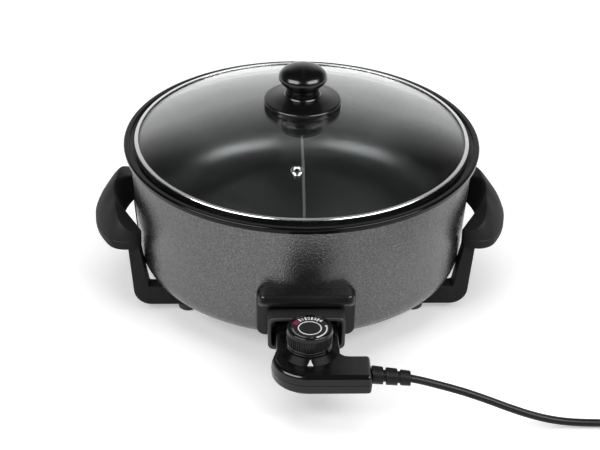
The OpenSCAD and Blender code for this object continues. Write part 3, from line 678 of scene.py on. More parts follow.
def grip_inner(start, lean, hollow, share):
    """Plan of the grip's inner face at its foot or at its top"""
    return bend(Vector((start, 0)), Vector(lean), Vector((finger_x - hollow, 38)), arm_tip, share)


def soften(ring, reaches):
    """Closed ring of points with each corner drawn as a short curve"""
    soft = []
    for i, (at, reach) in enumerate(zip(ring, reaches)):
        if not reach:
            soft.append(at)
            continue
        back, ahead = ring[i - 1] - at, ring[(i + 1) % len(ring)] - at
        first = at + back * min(0.45, reach / max(back.length, 1e-6))
        last = at + ahead * min(0.45, reach / max(ahead.length, 1e-6))
        for k in range(5):
            share = k / 4
            soft.append(first * (1 - share) ** 2 + at * (2 * share * (1 - share)) + last * share**2)
    return soft


def grip_section(share):
    """Ring round the grip: sunk inner facet, ridge, rounded back and the lip along its foot"""
    outer = grip_outer(share)
    foot = grip_inner(finger_x, (finger_x, 16), 9.5, share)
    edge = grip_inner(grip_in_x, (grip_in_x + 0.7, 22), 5.5, share)
    ridge = outer.lerp(edge, mix(0.945, 0.1, ease((share - 0.2) / 0.75)))
    edge_z = ridge_z - 1.5 - 18.5 * share * share
    top_z = ridge_z - 18 * ease((share - 0.42) / 0.58)
    ring = [Vector((*foot, grip_z)), Vector((*edge, edge_z))]
    reaches = [1.8, 2.2]
    back_reach = 1 - min(0.5, 0.8 / (outer - ridge).length)
    for i in range(13):
        turn = math.pi / 24 * i
        at = ridge.lerp(outer, back_reach * math.sin(turn) ** 1.5)
        ring.append(Vector((*at, mix(lip_z + 0.9, top_z, math.cos(turn) ** 1.5))))
        reaches.append(0 if i else 0.8)
    ring += [Vector((*outer, lip_z)), Vector((*outer, grip_z))]
    return soften(ring, reaches + [0.4, 1.4])


def grip(side):
    rings = []
    for i in range(-grip_steps, grip_steps + 1):
        way = -1 if i < 0 else 1
        ring = grip_section(abs(i) / grip_steps)
        rings.append([(side * at.x, way * at.y, at.z) for at in ring])
    return loft(rings)


def leg(side, y):
    """Leg and foot bar: one outline seen from the front, drawn through the leg's width with round edges"""
    outline = rounded(
        [
            (foot_x - foot_r, foot_h, leg_corner_r), (leg_out_x - 5, foot_h, leg_bend_r),
            (leg_out_x + 1.2, leg_top_z, leg_corner_r), (wall_low_r - 2.4, leg_top_z, leg_corner_r),
            (wall_low_r - 11.6, bar_top_z, leg_corner_r), (foot_x - foot_r, bar_top_z, leg_corner_r),
        ],
        closed=True,
        n=10,
    )
    count = len(outline)
    rings = []
    steps = edge_steps(leg_edge_r)
    spans = [(inset, -leg_w / 2 + depth) for inset, depth in steps]
    spans += [(inset, leg_w / 2 - depth) for inset, depth in steps[::-1]]
    for inset, across in spans:
        ring = []
        for i, (x, z) in enumerate(outline):
            ahead = Vector(outline[(i + 1) % count]) - Vector(outline[i - 1])
            inward = Vector((-ahead.y, ahead.x)).normalized() * inset
            ring.append((side * (x + inward.x), y + across, z + inward.y))
        rings.append(ring)
    return loft(rings)


def foot_pad(side, y):
    pad = [(0, foot_h), (foot_r + 1, foot_h, 1), (foot_r + 1, base_z - 0.3, 0.5), (0, base_z - 0.3)]
    return lathe(rounded(pad), upright(side * foot_x, y), small_steps)


for side, name in ((-1, "handle_left"), (1, "handle_right")):
    shapes = [grip(side)]
    for y in (-leg_y, leg_y):
        shapes += [leg(side, y), foot_pad(side, y)]
    add_piece(name + "_moulded", join(*shapes), satin_phenolic, "pan", "black_moulding", [name])

# Feet
# Four round rubber feet with a rounded sole, pushed with a spigot into the pads under the legs.
rubber = finish("rubber", 0.012, 0.02, (0.5, 0.6), 900, 0.05)
spigot_r, spigot_z = 5.8, foot_h + 4
foot_profile = rounded(
    [(0, 0), (foot_r, 0, 2.6), (foot_r, foot_h, 0.4), (spigot_r, foot_h), (spigot_r, spigot_z), (0, spigot_z)]
)
for y, row in ((-1, "front"), (1, "rear")):
    for x, side in ((-1, "left"), (1, "right")):
        shape = lathe(foot_profile, upright(x * foot_x, y * leg_y), small_steps)
        place = row + "_" + side
        add_piece("rubber_foot_" + place, shape, rubber, "pan", "rubber", ["foot_" + place])

# Screws
# Small pan-head screws with a cross recess: three under the housing and four under the plug.
# One tree of nodes makes a head and sets it at each place.
post_r = 62


def vector(tree, x=0.0, y=0.0, z=0.0):
    return add_node(tree, "ShaderNodeCombineXYZ", x, y, z).outputs[0]


def scatter(tree, places, shape, material, **turn):
    """Ends a tree: the shape at every place, as real faces with their finish"""
    spread = add_node(tree, "GeometryNodeInstanceOnPoints", Points=places, Instance=shape, **turn)
    real = add_node(tree, "GeometryNodeRealizeInstances", spread.outputs[0])
    coat = add_node(tree, "GeometryNodeSetMaterial", Geometry=real.outputs[0], Material=material)
    add_node(tree, "NodeGroupOutput", coat.outputs[0])


def shape_tree(name, *sizes):
    """New tree of shapes with named sizes and a finish"""
    tree = bpy.data.node_groups.new(name, "GeometryNodeTree")
    add_sockets(tree, "INPUT", "Geometry", "Geometry")
    add_sockets(tree, "INPUT", "Float", *sizes)
    add_sockets(tree, "INPUT", "Material", "Finish")
    add_sockets(tree, "OUTPUT", "Geometry", "Geometry")
    return tree


def screw_tree():
    tree = shape_tree("cross_head_screws", "Head radius", "Head height", "Recess width")
    source = tree.nodes.new("NodeGroupInput").outputs
    radius, height = source["Head radius"], source["Head height"]
    head = add_node(tree, "GeometryNodeMeshCylinder", Vertices=32, Radius=radius, Depth=height)
    recess = add_node(tree, "GeometryNodeMeshBoolean", setup={"operation": "DIFFERENCE", "solver": "EXACT"},
                      Mesh_1=head.outputs["Mesh"])
    size = vector(tree, radius, source["Recess width"], height)
    drop = vector(tree, z=maths(tree, "MULTIPLY", height, -0.5))
    for turn in (0, math.pi / 2):
        bar = add_node(tree, "GeometryNodeMeshCube", Size=size).outputs["Mesh"]
        move = add_node(tree, "GeometryNodeTransform", Geometry=bar, Translation=drop, Rotation=(0, 0, turn))
        tree.links.new(move.outputs[0], recess.inputs["Mesh 2"])
    scatter(tree, source["Geometry"], recess.outputs["Mesh"], source["Finish"])
    return tree


def settle(piece, step):
    """Makes what a modifier gives the piece's own plain mesh"""
    ready = piece.evaluated_get(bpy.context.evaluated_depsgraph_get())
    piece.data = bpy.data.meshes.new_from_object(ready)
    piece.modifiers.remove(step)


def grow(piece, tree, **values):
    """Runs a tree of nodes on a piece with named inputs and leaves a plain mesh"""
    step = piece.modifiers.new("grow", "NODES")
    step.node_group = tree
    for item in tree.interface.items_tree:
        key = item.name.replace(" ", "_").lower()
        if item.item_type == "SOCKET" and item.in_out == "INPUT" and key in values:
            step[item.identifier] = values[key]
    settle(piece, step)


cross_screws = screw_tree()


def screw_heads(name, places, radius, height, body, slot, replaced):
    piece = solid(name, (places, []))
    grow(piece, cross_screws, head_radius=radius * mm, head_height=height * mm, recess_width=1.0 * mm,
         finish=bright_steel)
    even_shade(piece, 40)
    belong(piece, body, slot, replaced)


post_turns = [math.radians(a) for a in (30, 150, 270)]
base_places = [(post_r * math.cos(a), post_r * math.sin(a), base_z - 1.2) for a in post_turns]
screw_heads("housing_screws", base_places, 4.2, 2.4, "pan", "steel", "base_screws")

# Lid
# Domed tempered glass in a narrow rolled steel edge band, with a steel steam eyelet near the front.
# The band lies on the pan's ledge with play all round.
lid_r = step_r - 5.5
glass_r = lid_r - 1.8
apex_z = rim_h + 39.5
glass_t = 4
dome_sag = apex_z - rim_h - 1.5
dome_R = (glass_r**2 + dome_sag**2) / (2 * dome_sag)
dome_z = apex_z - dome_R
vent_r = 110
vent_turn = -4.5
glass_hole_r = 4
glass_shadow = 0.12


def clear_glass():
    """Clear glass that lets most of the lamps' light through to the pan"""
    material, tree = new_material("clear_glass")
    shader = tree.nodes["Principled BSDF"].inputs
    shader["Base Color"].default_value = (0.94, 0.965, 0.965, 1)
    for label, value in (("Roughness", 0.0), ("IOR", 1.5), ("Transmission Weight", 1.0)):
        shader[label].default_value = value
    shadow = add_node(tree, "ShaderNodeLightPath").outputs["Is Shadow Ray"]
    tree.links.new(remap(tree, shadow, To_Min=1.0, To_Max=glass_shadow), shader["Alpha"])
    return material


def dome_arc(radius, r0, r1, n):
    """Points of the dome's curve between two distances from the middle"""
    first, last = math.asin(r0 / radius), math.asin(r1 / radius)
    turns = [first + (last - first) * i / n for i in range(n + 1)]
    return [(radius * math.sin(a), dome_z + radius * math.cos(a)) for a in turns]


glass_profile = dome_arc(dome_R, glass_hole_r, glass_r, 40)
glass_profile += dome_arc(dome_R - glass_t, glass_hole_r, glass_r, 40)[::-1]
glass_skin = lathe(glass_profile, steps=fine_steps)
add_piece("lid_glass_dome", glass_skin, clear_glass(), "lid", "glass", ["lid_glass"], 40)
polished_steel = finish("polished_steel", 0.68, 0.74, (0.12, 0.18), 500, 0.004, Metallic=1.0)
band_profile = rounded(
    [
        (lid_r - 4, ledge_z + 0.9, 0.3), (lid_r - 3, ledge_z, 0.5), (lid_r, ledge_z, 0.8),
        (lid_r, ledge_z + 6.9, 0.25), (lid_r - 0.45, ledge_z + 7.4, 0.25),
        (lid_r - 3.6, ledge_z + 7.7, 0.3), (lid_r - 3.6, ledge_z + 6.6, 0.2),
        (glass_r + 0.15, ledge_z + 5.9, 0.2), (glass_r + 0.15, ledge_z + 1.3, 0.2),
        (lid_r - 4, ledge_z + 1.8, 0.3),
    ],
    closed=True,
    n=5,
)
band_skin = lathe(band_profile, steps=fine_steps)
add_piece("lid_edge_band", band_skin, polished_steel, "lid", "polished_steel", ["lid_band"])
tilt = Matrix.Rotation(math.radians(vent_turn), 4, "Z") @ Matrix.Rotation(math.asin(vent_r / dome_R), 4, "X")


def on_vent(u, v, h):
    at = tilt @ Vector((u, v, dome_R + h))
    return (at.x, at.y, at.z + dome_z)


eyelet_profile = rounded(
    [
        (2.7, -glass_t - 1.2), (5.4, -glass_t - 1.2, 0.4), (5.4, -glass_t - 0.15), (4.1, -glass_t - 0.15),
        (4.1, 0.15), (6.3, 0.15, 0.2), (5.3, 1.3, 0.7), (3.5, 1.3, 0.6), (2.7, 0.5),
    ],
    closed=True,
)
eyelet_skin = lathe(eyelet_profile, on_vent, small_steps)
add_piece("steam_eyelet", eyelet_skin, polished_steel, "lid", "polished_steel", ["vent_eyelet"])
# Thin black lining inside the eyelet's bore, which is really the eyelet's own polished steel: painted shade
# down the hole.
eyelet_hole_shade = [(2.3, -glass_t - 1.1), (2.65, -glass_t - 1.1), (2.65, 0.4), (2.3, 0.4)]
add_piece("steam_bore", lathe(eyelet_hole_shade, on_vent, small_steps), black_steel, "lid", "polished_steel")

# Lid knob
# Mushroom grip on a wide flange, a gasket and a cup under the glass, all on one long screw.
# The grip and flange are glossy black moulding.
knob_r = 24.3
flange_r = 39
cup_r = 22
grip_foot_z = apex_z + 11
knob_wide_z = apex_z + 29
neck_r = knob_r - 8.3
neck_z = knob_wide_z - 15
knob_rise = 13
bolt_r = 3.3
flange_z = dome_z + math.sqrt(dome_R**2 - (flange_r - 5) ** 2) + 0.15
gloss_moulding = finish("gloss_moulding", 0.003, 0.005, (0.17, 0.22), 1200, 0.002, Specular_IOR_Level=0.4)
flange_profile = rounded(
    [
        (bolt_r, apex_z + 0.15), (12, apex_z + 0.15, 0.3), (12, apex_z + 3.6, 0.5),
        (flange_r - 6, apex_z + 2, 0.5), (flange_r - 5, flange_z, 0.3), (flange_r - 0.4, flange_z, 0.6),
        (flange_r, flange_z + 7.0, 2.2), (flange_r - 9, flange_z + 8.6, 12),
        (flange_r - 20.6, flange_z + 11.2, 2), (flange_r - 21.6, grip_foot_z + 0.6, 0.5),
        (flange_r - 22.6, grip_foot_z, 0.3), (bolt_r, grip_foot_z),
    ],
    closed=True,
)
flange_skin = lathe(flange_profile)
add_piece("knob_flange_gloss", flange_skin, gloss_moulding, "lid", "gloss_moulding", ["knob_flange"])


def smooth_route(points, steps):
    """Even curve through all points"""
    points = [Vector(p) for p in points]
    line = []
    for i in range(len(points) - 1):
        before, start = points[max(0, i - 1)], points[i]
        end, after = points[i + 1], points[min(len(points) - 1, i + 2)]
        span = (end - start).length
        leave = (end - before) * span / max(1e-6, span + (start - before).length)
        reach = (after - start) * span / max(1e-6, (after - end).length + span)
        for k in range(steps):
            f = k / steps
            line.append(
                start * (2 * f**3 - 3 * f**2 + 1) + leave * (f**3 - 2 * f**2 + f)
                + end * (3 * f**2 - 2 * f**3) + reach * (f**3 - f**2)
            )
    return line + [points[-1]]


ball_turns = [math.pi / 48 * i for i in range(1, 25)]
ball = [(knob_r * math.cos(a), knob_wide_z + knob_rise * math.sin(a)) for a in ball_turns]
under_curve = smooth_route(
    [
        (neck_r, neck_z), (neck_r + 0.05, knob_wide_z - 13.4), (neck_r + 0.5, knob_wide_z - 11.5),
        (neck_r + 2, knob_wide_z - 8.7), (neck_r + 4.6, knob_wide_z - 6), (neck_r + 7, knob_wide_z - 3.2),
        (knob_r - 0.25, knob_wide_z - 1.2), (knob_r, knob_wide_z),
    ],
    4,
)
knob_profile = (
    [(0, grip_foot_z), (3.1, grip_foot_z)]
    + rounded([(3.1, grip_foot_z), (neck_r, grip_foot_z, 0.6), (neck_r, neck_z)])[1:-1]
    + [tuple(at) for at in under_curve]
    + ball
)
add_piece("knob_grip_gloss", lathe(knob_profile), gloss_moulding, "lid", "gloss_moulding", ["knob_grip"])
gasket_z = apex_z - glass_t - 3
gasket_r, gasket_top_z = cup_r - 1, gasket_z + 2.2
gasket = rounded(
    [(4.5, gasket_z), (gasket_r, gasket_z, 0.6), (gasket_r, gasket_top_z, 0.6), (4.5, gasket_top_z)],
    closed=True,
)
add_piece("knob_gasket_ring", lathe(gasket), rubber, "lid", "rubber", ["knob_gasket"])
cup_z = gasket_z - 23
grooves = []
for low in (13, 6.4):
    for inset, rise in ((0, 0), (0.9, 0.8), (0.9, 2.2), (0, 3)):
        grooves.append((cup_r - inset, gasket_z - low + rise, 0.4))
cup_profile = rounded(
    [
        (6.4, cup_z, 0.4), (cup_r, cup_z, 2), *grooves, (cup_r, gasket_z, 0.5),
        (bolt_r, gasket_z), (bolt_r, cup_z + 5), (6.4, cup_z + 5),
    ],
    closed=True,
)
add_piece("knob_cup_moulded", lathe(cup_profile), black_moulding, "lid", "black_moulding", ["knob_cup"])
dress(bright_steel, "knob_screw")

# Thermostat plug
# Two half shells of gloss black moulding, parted all round their middle, and the dial's raised boss as a mesh
# of its own. The nose slides into the socket's sleeve and the right arm holds the cord's boot.
nose_w = 60
plug_h = 20
plug_l = 98
plug_round_r = 35
arm_x = 57.5
arm_w = 37
plug_z = sock_z - 1.2
plug_top_z = plug_z + plug_h / 2
plug_low_z = plug_z - plug_h / 2
nose_y = wall_y - 9.6
plug_y = nose_y - plug_l
round_y = plug_y + plug_round_r
arm_y = plug_y + arm_w
dial_x, dial_y = 1, nose_y - 54
dial_r = 21.7
boss_z = plug_top_z + 5.5
pin_x = 17
element_z = sock_z + 1.5
probe_z = element_z - 2.7
plug_gloss = finish("plug_gloss", 0.003, 0.005, (0.13, 0.18), 1400, 0.003, Specular_IOR_Level=0.32)


def plug_plan(d):
    """Plan of the plug's shell, moved in by d"""
    half, fillet, r = nose_w / 2, 8, 4
    small = max(0.3, r - d)
    return (
        arc(half - r, nose_y - r, small, 0, 90, 6)
        + arc(r - half, nose_y - r, small, 90, 180, 6)
        + [(d - half, round_y + 14)]
        + arc(0, round_y, plug_round_r - d, 186, 270, 36)
        + arc(arm_x - r, plug_y + r, small, 270, 360, 6)
        + arc(arm_x - r, arm_y - r, small, 0, 90, 6)
        + arc(half + fillet, arm_y + fillet, fillet + d, 270, 180, 14)
    )


def plug_shell(side, edge):
    """Half shell from the parting groove to its rounded outer face, side 1 up or -1 down"""
    steps = [(0.5, 0.05), (0.4, 0.12), (0.15, 0.25), (0.1, 1.0)]
    for i in range(9):
        a = math.pi / 16 * i
        steps.append((0.5 + edge * (1 - math.cos(a)), plug_h / 2 - edge + edge * math.sin(a)))
    return loft([[(x, y, plug_z + side * rise) for x, y in plug_plan(d)] for d, rise in steps])


def add_half(name, side, edge):
    half = plug_shell(side, edge)
    return add_piece("plug_shell_" + name, half, plug_gloss, "thermostat", "gloss_moulding", ["plug_" + name])


def drill(piece, holes):
    """Cuts round holes: middle, axis letter, radius, half length"""
    shapes = []
    for (x, y, z), axis, r, half in holes:
        turned = {
            "y": lambda u, v, h: (x + u, y + h, z + v),
            "z": lambda u, v, h: (x + u, y + v, z + h),
        }[axis]
        shapes.append(lathe([(0, -half), (r, -half), (r, half), (0, half)], turned, 40))
    cutter = solid("drill", join(*shapes))
    piece.modifiers.remove(piece.modifiers["even_shade"])
    cut = piece.modifiers.new("cut", "BOOLEAN")
    cut.object = cutter
    cut.solver = "EXACT"
    settle(piece, cut)
    bpy.data.objects.remove(cutter)
    even_shade(piece, sharp_edge)


boss_low_r = 27.2
pointer_half = 2.7
boss_sink = plug_top_z - 1
boss_profile = rounded(
    [(0, boss_sink), (28.4, boss_sink), (boss_low_r, plug_top_z, 0.8), (dial_r, boss_z, 1.0), (0, boss_z)]
)
dial_place = upright(dial_x, dial_y)
nose_holes = [((x * pin_x, nose_y, element_z), "y", 3.8, 6) for x in (-1, 1)]
nose_holes.append(((0, nose_y, probe_z), "y", 4.65, 6))
screw_places = [(-24.4, nose_y - 32), (24.4, nose_y - 32), (-18, plug_y + 24), (38, plug_y + 26)]
screw_holes = [((x, y, plug_low_z), "z", 2.9, 2.6) for x, y in screw_places]
plug_top = add_half("top", 1, 4.6)
boss_sheen = finish("boss_sheen", 0.003, 0.005, (0.22, 0.28), 1400, 0.003, Specular_IOR_Level=0.035)
add_piece("dial_boss", lathe(boss_profile, dial_place), boss_sheen, "thermostat", "gloss_moulding")
plug_bottom = add_half("bottom", -1, 2.6)
drill(plug_top, nose_holes)
drill(plug_bottom, nose_holes + screw_holes)
sunk = [(x, y, plug_low_z + 1.6) for x, y in screw_places]
screw_heads("plug_shell_screws", sunk, 2.5, 1.6, "thermostat", "steel", "plug_screws")
dress(bright_steel, "probe_rod", "cord_clamp")
dress(pin_brass, "pin_sockets", "contact_blade", "bimetal_blade")
steatite = finish("steatite", (0.72, 0.69, 0.6), (0.8, 0.77, 0.7), (0.5, 0.7), 600, 0.04)
dress(steatite, "thermostat_block")
white_print = finish("white_print", 0.7, 0.8, (0.4, 0.5), 900, 0.002)


def pointer_mark():
    """Printed triangle that follows the boss's front slope"""
    foot = Vector((boss_low_r, plug_top_z))
    along = Vector((dial_r, boss_z)) - foot
    out = Vector((along.y, -along.x)).normalized()
    rings = []
    for i in range(7):
        half = pointer_half * (1 - i / 6) + 0.05
        ring = []
        for lift, way in ((0.06, 1), (-0.2, -1)):
            r, z = foot + along * (0.1 + 0.76 * i / 6) + out * lift
            for k in range(-3, 4):
                turn = way * half * k / 3 / r
                ring.append((dial_x + r * math.sin(turn), dial_y - r * math.cos(turn), z))
        rings.append(ring)
    return loft(rings)


add_piece("pointer_mark", pointer_mark(), white_print, "thermostat", "gloss_moulding")

# Temperature dial
# Round knob with a finely ribbed side over a plain collar, on a steel spindle.
# Its sunk disc carries printed marks: a ring, numbers with ticks, a red start patch and a rising arc.
dial_z = plug_top_z + 26
rib_count = 54
collar_z = boss_z + 4.4
rib_low_z, rib_top_z = collar_z + 1.2, dial_z - 4.4
disc_r = dial_r - 3.35
disc_z = dial_z - 1.5
disc_low_z = disc_z - 0.8
mark_r = 15.7
mark_turn = 10.9
first_mark = 124.5
dial_profile = rounded(
    [
        (0, boss_z + 0.3), (dial_r - 0.5, boss_z + 0.3, 0.3), (dial_r - 0.7, boss_z + 1.7, 0.4),
        (dial_r - 2.0, boss_z + 2.1, 0.2), (dial_r - 2.0, boss_z + 2.5, 0.2),
        (dial_r - 0.8, boss_z + 2.8, 0.3), (dial_r - 1.0, collar_z, 0.4),
        (dial_r - 2.2, collar_z + 0.4, 0.2), (dial_r - 1.3, collar_z + 0.9, 0.2),
        (dial_r - 1.3, rib_top_z - 0.4, 0.2), (dial_r, rib_top_z, 0.3), (dial_r - 0.8, dial_z, 1.3),
        (dial_r - 3.0, dial_z, 0.4), (dial_r - 3.2, disc_low_z), (0, disc_low_z),
    ]
)
add_piece("dial_body", lathe(dial_profile, dial_place), plug_gloss, "dial", "gloss_moulding", ["dial_knob"])


def ring_tree(name, round_bar):
    """Tree that sets equal bars round an arc: upright round bars or flat ticks"""
    tree = shape_tree(name, "Ring radius", "Start", "Step", "Bar length", "Bar width", "Bar height")
    add_sockets(tree, "INPUT", "Int", "Count")
    add_sockets(tree, "INPUT", "Vector", "Middle")
    source = tree.nodes.new("NodeGroupInput").outputs
    radius, width, height = source["Ring radius"], source["Bar width"], source["Bar height"]
    index = tree.nodes.new("GeometryNodeInputIndex").outputs[0]
    angle = maths(tree, "ADD", source["Start"], maths(tree, "MULTIPLY", index, source["Step"]))
    across = maths(tree, "MULTIPLY", radius, maths(tree, "COSINE", angle))
    along = maths(tree, "MULTIPLY", radius, maths(tree, "SINE", angle))
    place = add_node(tree, "ShaderNodeVectorMath", vector(tree, across, along), source["Middle"]).outputs[0]
    row = add_node(tree, "GeometryNodePoints", Count=source["Count"], Position=place).outputs[0]
    if round_bar:
        bar = add_node(tree, "GeometryNodeMeshCylinder", Vertices=10, Radius=width, Depth=height)
    else:
        bar = add_node(tree, "GeometryNodeMeshCube", Size=vector(tree, source["Bar length"], width, height))
    turn = add_node(tree, "FunctionNodeEulerToRotation", vector(tree, z=angle)).outputs[0]
    scatter(tree, row, bar.outputs["Mesh"], source["Finish"], Rotation=turn)
    return tree


def ring_of_bars(name, tree, middle_z, material, slot, **sizes):
    piece = solid(name, ([], []))
    middle = (dial_x * mm, dial_y * mm + axis_y, middle_z * mm)
    grow(piece, tree, middle=middle, finish=material, **sizes)
    even_shade(piece, 50)
    belong(piece, "dial", slot)


rib_h = rib_top_z - rib_low_z
dull_moulding = finish("dull_moulding", 0.004, 0.006, (0.35, 0.42), 1200, 0.01, Specular_IOR_Level=0.25)
rib_middle_z = (rib_low_z + rib_top_z) / 2
ring_of_bars("dial_ribs", ring_tree("rib_ring", True), rib_middle_z, dull_moulding, "gloss_moulding",
             count=rib_count, ring_radius=(dial_r - 1.1) * mm, step=2 * math.pi / rib_count,
             bar_width=0.75 * mm, bar_height=rib_h * mm)
dial_black = finish("dial_black", 0.012, 0.018, (0.32, 0.42), 1500, 0.01)
disc = rounded([(0, disc_low_z), (disc_r, disc_low_z), (disc_r, disc_z, 0.2), (0, disc_z)])
add_piece("dial_face", lathe(disc, dial_place), dial_black, "dial", "black_moulding", ["dial_disc"])
dress(bright_steel, "dial_spindle")


def printed_arc(r0, r1, a0, a1, n=24):
    """Thin printed stroke between two radii, with its width given at both ends"""
    edge = [(mix(*r0, i / n), mix(a0, a1, i / n)) for i in range(n + 1)]
    edge += [(mix(*r1, i / n), mix(a0, a1, i / n)) for i in range(n, -1, -1)]
    plan = [(r * math.cos(math.radians(a)), r * math.sin(math.radians(a))) for r, a in edge]
    return loft([[(dial_x + x, dial_y + y, disc_z + lift) for x, y in plan] for lift in (-0.2, 0.05)])


red_print = finish("red_print", (0.17, 0.012, 0.04), (0.2, 0.016, 0.05), (0.4, 0.5), 900, 0.002)
ring_mark = printed_arc((10.0, 10.0), (11.1, 11.1), 0, 359.9, 96)
rise_mark = printed_arc((15.3, 15.2), (16.2, 17.0), 8, -70)
rise_dot = printed_arc((14.6, 14.6), (16.6, 16.6), 8, 16)
low_dot = printed_arc((15.5, 15.5), (16.9, 16.9), -88, -82)
add_piece("dial_rings", join(ring_mark, rise_mark, rise_dot), white_print, "dial", "black_moulding")
grey_print = finish("grey_print", 0.16, 0.2, (0.4, 0.5), 900, 0.002)
low_mark = printed_arc((15.2, 15.2), (16.4, 16.4), 180, 255)
add_piece("dial_low_range", join(low_mark, low_dot), grey_print, "dial", "black_moulding")
start_patch = printed_arc((12.6, 12.6), (18.0, 18.0), 132, 156)
add_piece("dial_start_patch", start_patch, red_print, "dial", "black_moulding")
ring_of_bars("dial_ticks", ring_tree("tick_ring", False), disc_z - 0.07, white_print, "black_moulding",
             count=4, ring_radius=mark_r * mm, start=math.radians(first_mark),
             step=math.radians(-2 * mark_turn), bar_length=4.6 * mm, bar_width=1.7 * mm, bar_height=0.24 * mm)


def dial_number(digit, turn):
    """One printed number that reads from the dial's rim"""
    text = bpy.data.curves.new("number_" + digit, "FONT")
    text.body = digit
    text.size, text.offset, text.extrude = 5.4 * mm, 0.16 * mm, 0.12 * mm
    text.align_x = text.align_y = "CENTER"
    loose = put_in("number_" + digit, text)
    mesh = bpy.data.meshes.new_from_object(loose.evaluated_get(bpy.context.evaluated_depsgraph_get()))
    bpy.data.objects.remove(loose)
    a = math.radians(turn)
    at = Vector((dial_x + mark_r * math.cos(a), dial_y + mark_r * math.sin(a), disc_z - 0.06)) * mm
    at.y += axis_y
    mesh.transform(Matrix.Translation(at) @ Matrix.Rotation(a - math.pi / 2, 4, "Z"))
    mesh.materials.clear()
    mesh.materials.append(white_print)
    belong(put_in("dial_number_" + digit, mesh), "dial", "black_moulding")


for i, digit in enumerate("1234"):
    dial_number(digit, first_mark - mark_turn * (2 * i + 1))

# Cord
# Round black mains cord, 1.3 m in all: it leaves the ribbed boot at the plug's right arm, sinks to the table,
# is wound into a tied coil past the picture's edge and ends in a two-pin plug.
cord_d = 7.3
cord_r = cord_d / 2
boot_x, boot_y = arm_x + 35.5, plug_y + 12
coil_x = 342
coil_r = 46
coil_y = boot_y + coil_r
coil_pitch = 7.9
coil_turns = 4.25
coil_z = cord_r + 1.3
layer_h = cord_d + 0.55
tail_x = coil_x + coil_r
tail_y = coil_y + 62
tail_z = 17.5
boot_lean = 0.18
lead_run, lead_sink, lead_drop = 162, 52.6, 53
tie_half, tie_t, tie_gap, tie_corner_r = 3.2, 1.2, 1.7, 3.2
tie_turn = 225
mains_pin_r, mains_pin_x = 2.4, 9.5
pin_start, pin_end = 42, 62
cord_skin = finish("cord_skin", 0.006, 0.01, (0.36, 0.44), 1200, 0.02, Specular_IOR_Level=0.2)


def along_boot(u, v, h):
    """Places turned points on the boot's axis, which leans to the front as it leaves the plug"""
    return (h, boot_y + boot_lean * (boot_x - h) + u, plug_z + v)


boot_ribs = ((0.15, 10.5, 8.6), (13, 23.5, 8.2), (26, 35.5, 7.4))
boot_neck_r = cord_r + 1.95
boot_outline = [(0, arm_x - 1), (boot_neck_r, arm_x - 1)]
for start, end, rib_r in boot_ribs:
    boot_outline += [
        (boot_neck_r, arm_x + start, 0.3), (rib_r, arm_x + start, 0.9), (rib_r - 0.3, arm_x + end, 0.9),
        (boot_neck_r, arm_x + end, 0.3),
    ]
boot_profile = rounded(boot_outline[:-1] + [(0, boot_x)], n=4)
boot_skin = lathe(boot_profile, along_boot, small_steps)
boot = add_piece("ribbed_boot", boot_skin, cord_skin, "thermostat", "rubber", ["cord_boot"])
lead_steps = [(0, 0), (7.3, -1.8), (15, -4), (24, -6.8), (36, -10.7), (50, -15.6), (66, -22), (82, -29),
              (98, -36), (114, -42.2), (130, -47.2), (146, -50.4), (lead_run, -52)]
lead_fall = (plug_z - coil_z) / lead_drop
lead_end = coil_x - 2 * cord_d - boot_x
route = [(boot_x + x, boot_y, plug_z + lead_fall * z) for x, z in lead_steps]
lead_low_z = plug_z - lead_sink * lead_fall
for f in (0.3, 0.6):
    route.append((boot_x + mix(lead_run, lead_end, f), boot_y, mix(lead_low_z, coil_z, f)))
route += [(coil_x - k * cord_d, boot_y, coil_z) for k in (2, 1, 0.5)]
coil_points = round(coil_turns * 24)
for i in range(coil_points + 1):
    t = coil_turns * i / coil_points
    a = math.radians(360 * t - 90)
    r = coil_r - coil_pitch * min(t, coil_turns - t)
    z = coil_z + layer_h * ease((t - coil_turns / 2 + 0.25) * 2)
    route.append((coil_x + r * math.cos(a), coil_y + r * math.sin(a), z))
tail_steps = [(3.65, 0), (7.3, 0), (14.6, 0), (24, 0.12), (34, 0.45), (44, 0.82), (54.7, 1), (62, 1)]
route += [(tail_x, coil_y + y, mix(coil_z + layer_h, tail_z, f)) for y, f in tail_steps]


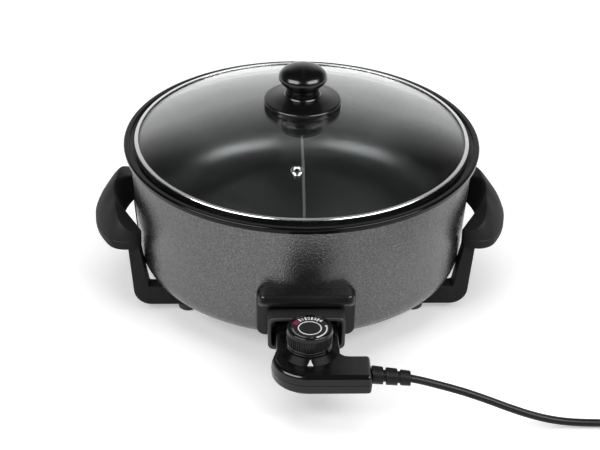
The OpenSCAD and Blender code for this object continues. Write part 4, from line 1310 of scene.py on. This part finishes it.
def tube(line, r, sides):
    rings = []
    for j, at in enumerate(line):
        ahead = (line[min(len(line) - 1, j + 1)] - line[max(0, j - 1)]).normalized()
        across = ahead.cross(Vector((0, 0, 1))).normalized()
        up = across.cross(ahead)
        turns = [2 * math.pi * i / sides for i in range(sides)]
        rings.append([tuple(at + r * (math.cos(a) * across + math.sin(a) * up)) for a in turns])
    return loft(rings)


cord_line = smooth_route(route, 3)
cord = add_piece("mains_cord", tube(cord_line, cord_r, 20), cord_skin, "thermostat", "rubber",
                 ["cord_lead", "cord_coil", "cord_tail"], 60)


def cord_tie():
    """Flat strap round both layers of the coil"""
    low = coil_r - coil_pitch * coil_turns / 2 - cord_r - tie_gap
    high = coil_r + cord_r + tie_gap
    top = cord_d + layer_h + 3.0
    loops = []
    for inset in (0, tie_t):
        w, h = high - low - 2 * inset, top - 2 * inset
        box = rounded_box(w, h, tie_corner_r - inset)
        loops.append([(px - (low + high) / 2, pz + top / 2) for px, pz in box])
    outer, inner = loops
    turn = Matrix.Rotation(math.radians(tie_turn), 3, "Z")
    rings = []
    for loop, side in ((outer, -1), (outer, 1), (inner, 1), (inner, -1), (outer, -1)):
        ring = []
        for across, z in loop:
            at = turn @ Vector((across, side * tie_half, 0))
            ring.append((coil_x + at.x, coil_y + at.y, z))
        rings.append(ring)
    return loft(rings, caps=False)


tie = add_piece("coil_tie", cord_tie(), rubber, "thermostat", "rubber", ["cord_tie"])


def along_y(x, y, z):
    return lambda u, v, h: (x + u, y + h, z - v)


plug_body = rounded(
    [(0, 0), (5.4, 0, 0.6), (6.6, 10, 4), (13, 16, 6), (17.4, 25, 10), (17.4, 43, 1.2), (0, 43)]
)
mains = add_piece("mains_plug_body", lathe(plug_body, along_y(tail_x, tail_y, tail_z), 96), black_moulding,
                  "thermostat", "black_moulding", ["mains_plug"])
pin_profile = rounded(
    [(0, pin_start), (mains_pin_r, pin_start), (mains_pin_r, pin_end, 2.2), (0, pin_end)]
)
pin_pair = [lathe(pin_profile, along_y(tail_x + x, tail_y, tail_z), 32) for x in (-mains_pin_x, mains_pin_x)]
pins = add_piece(
    "mains_plug_pins", join(*pin_pair), polished_steel, "thermostat", "polished_steel", ["mains_pins"]
)
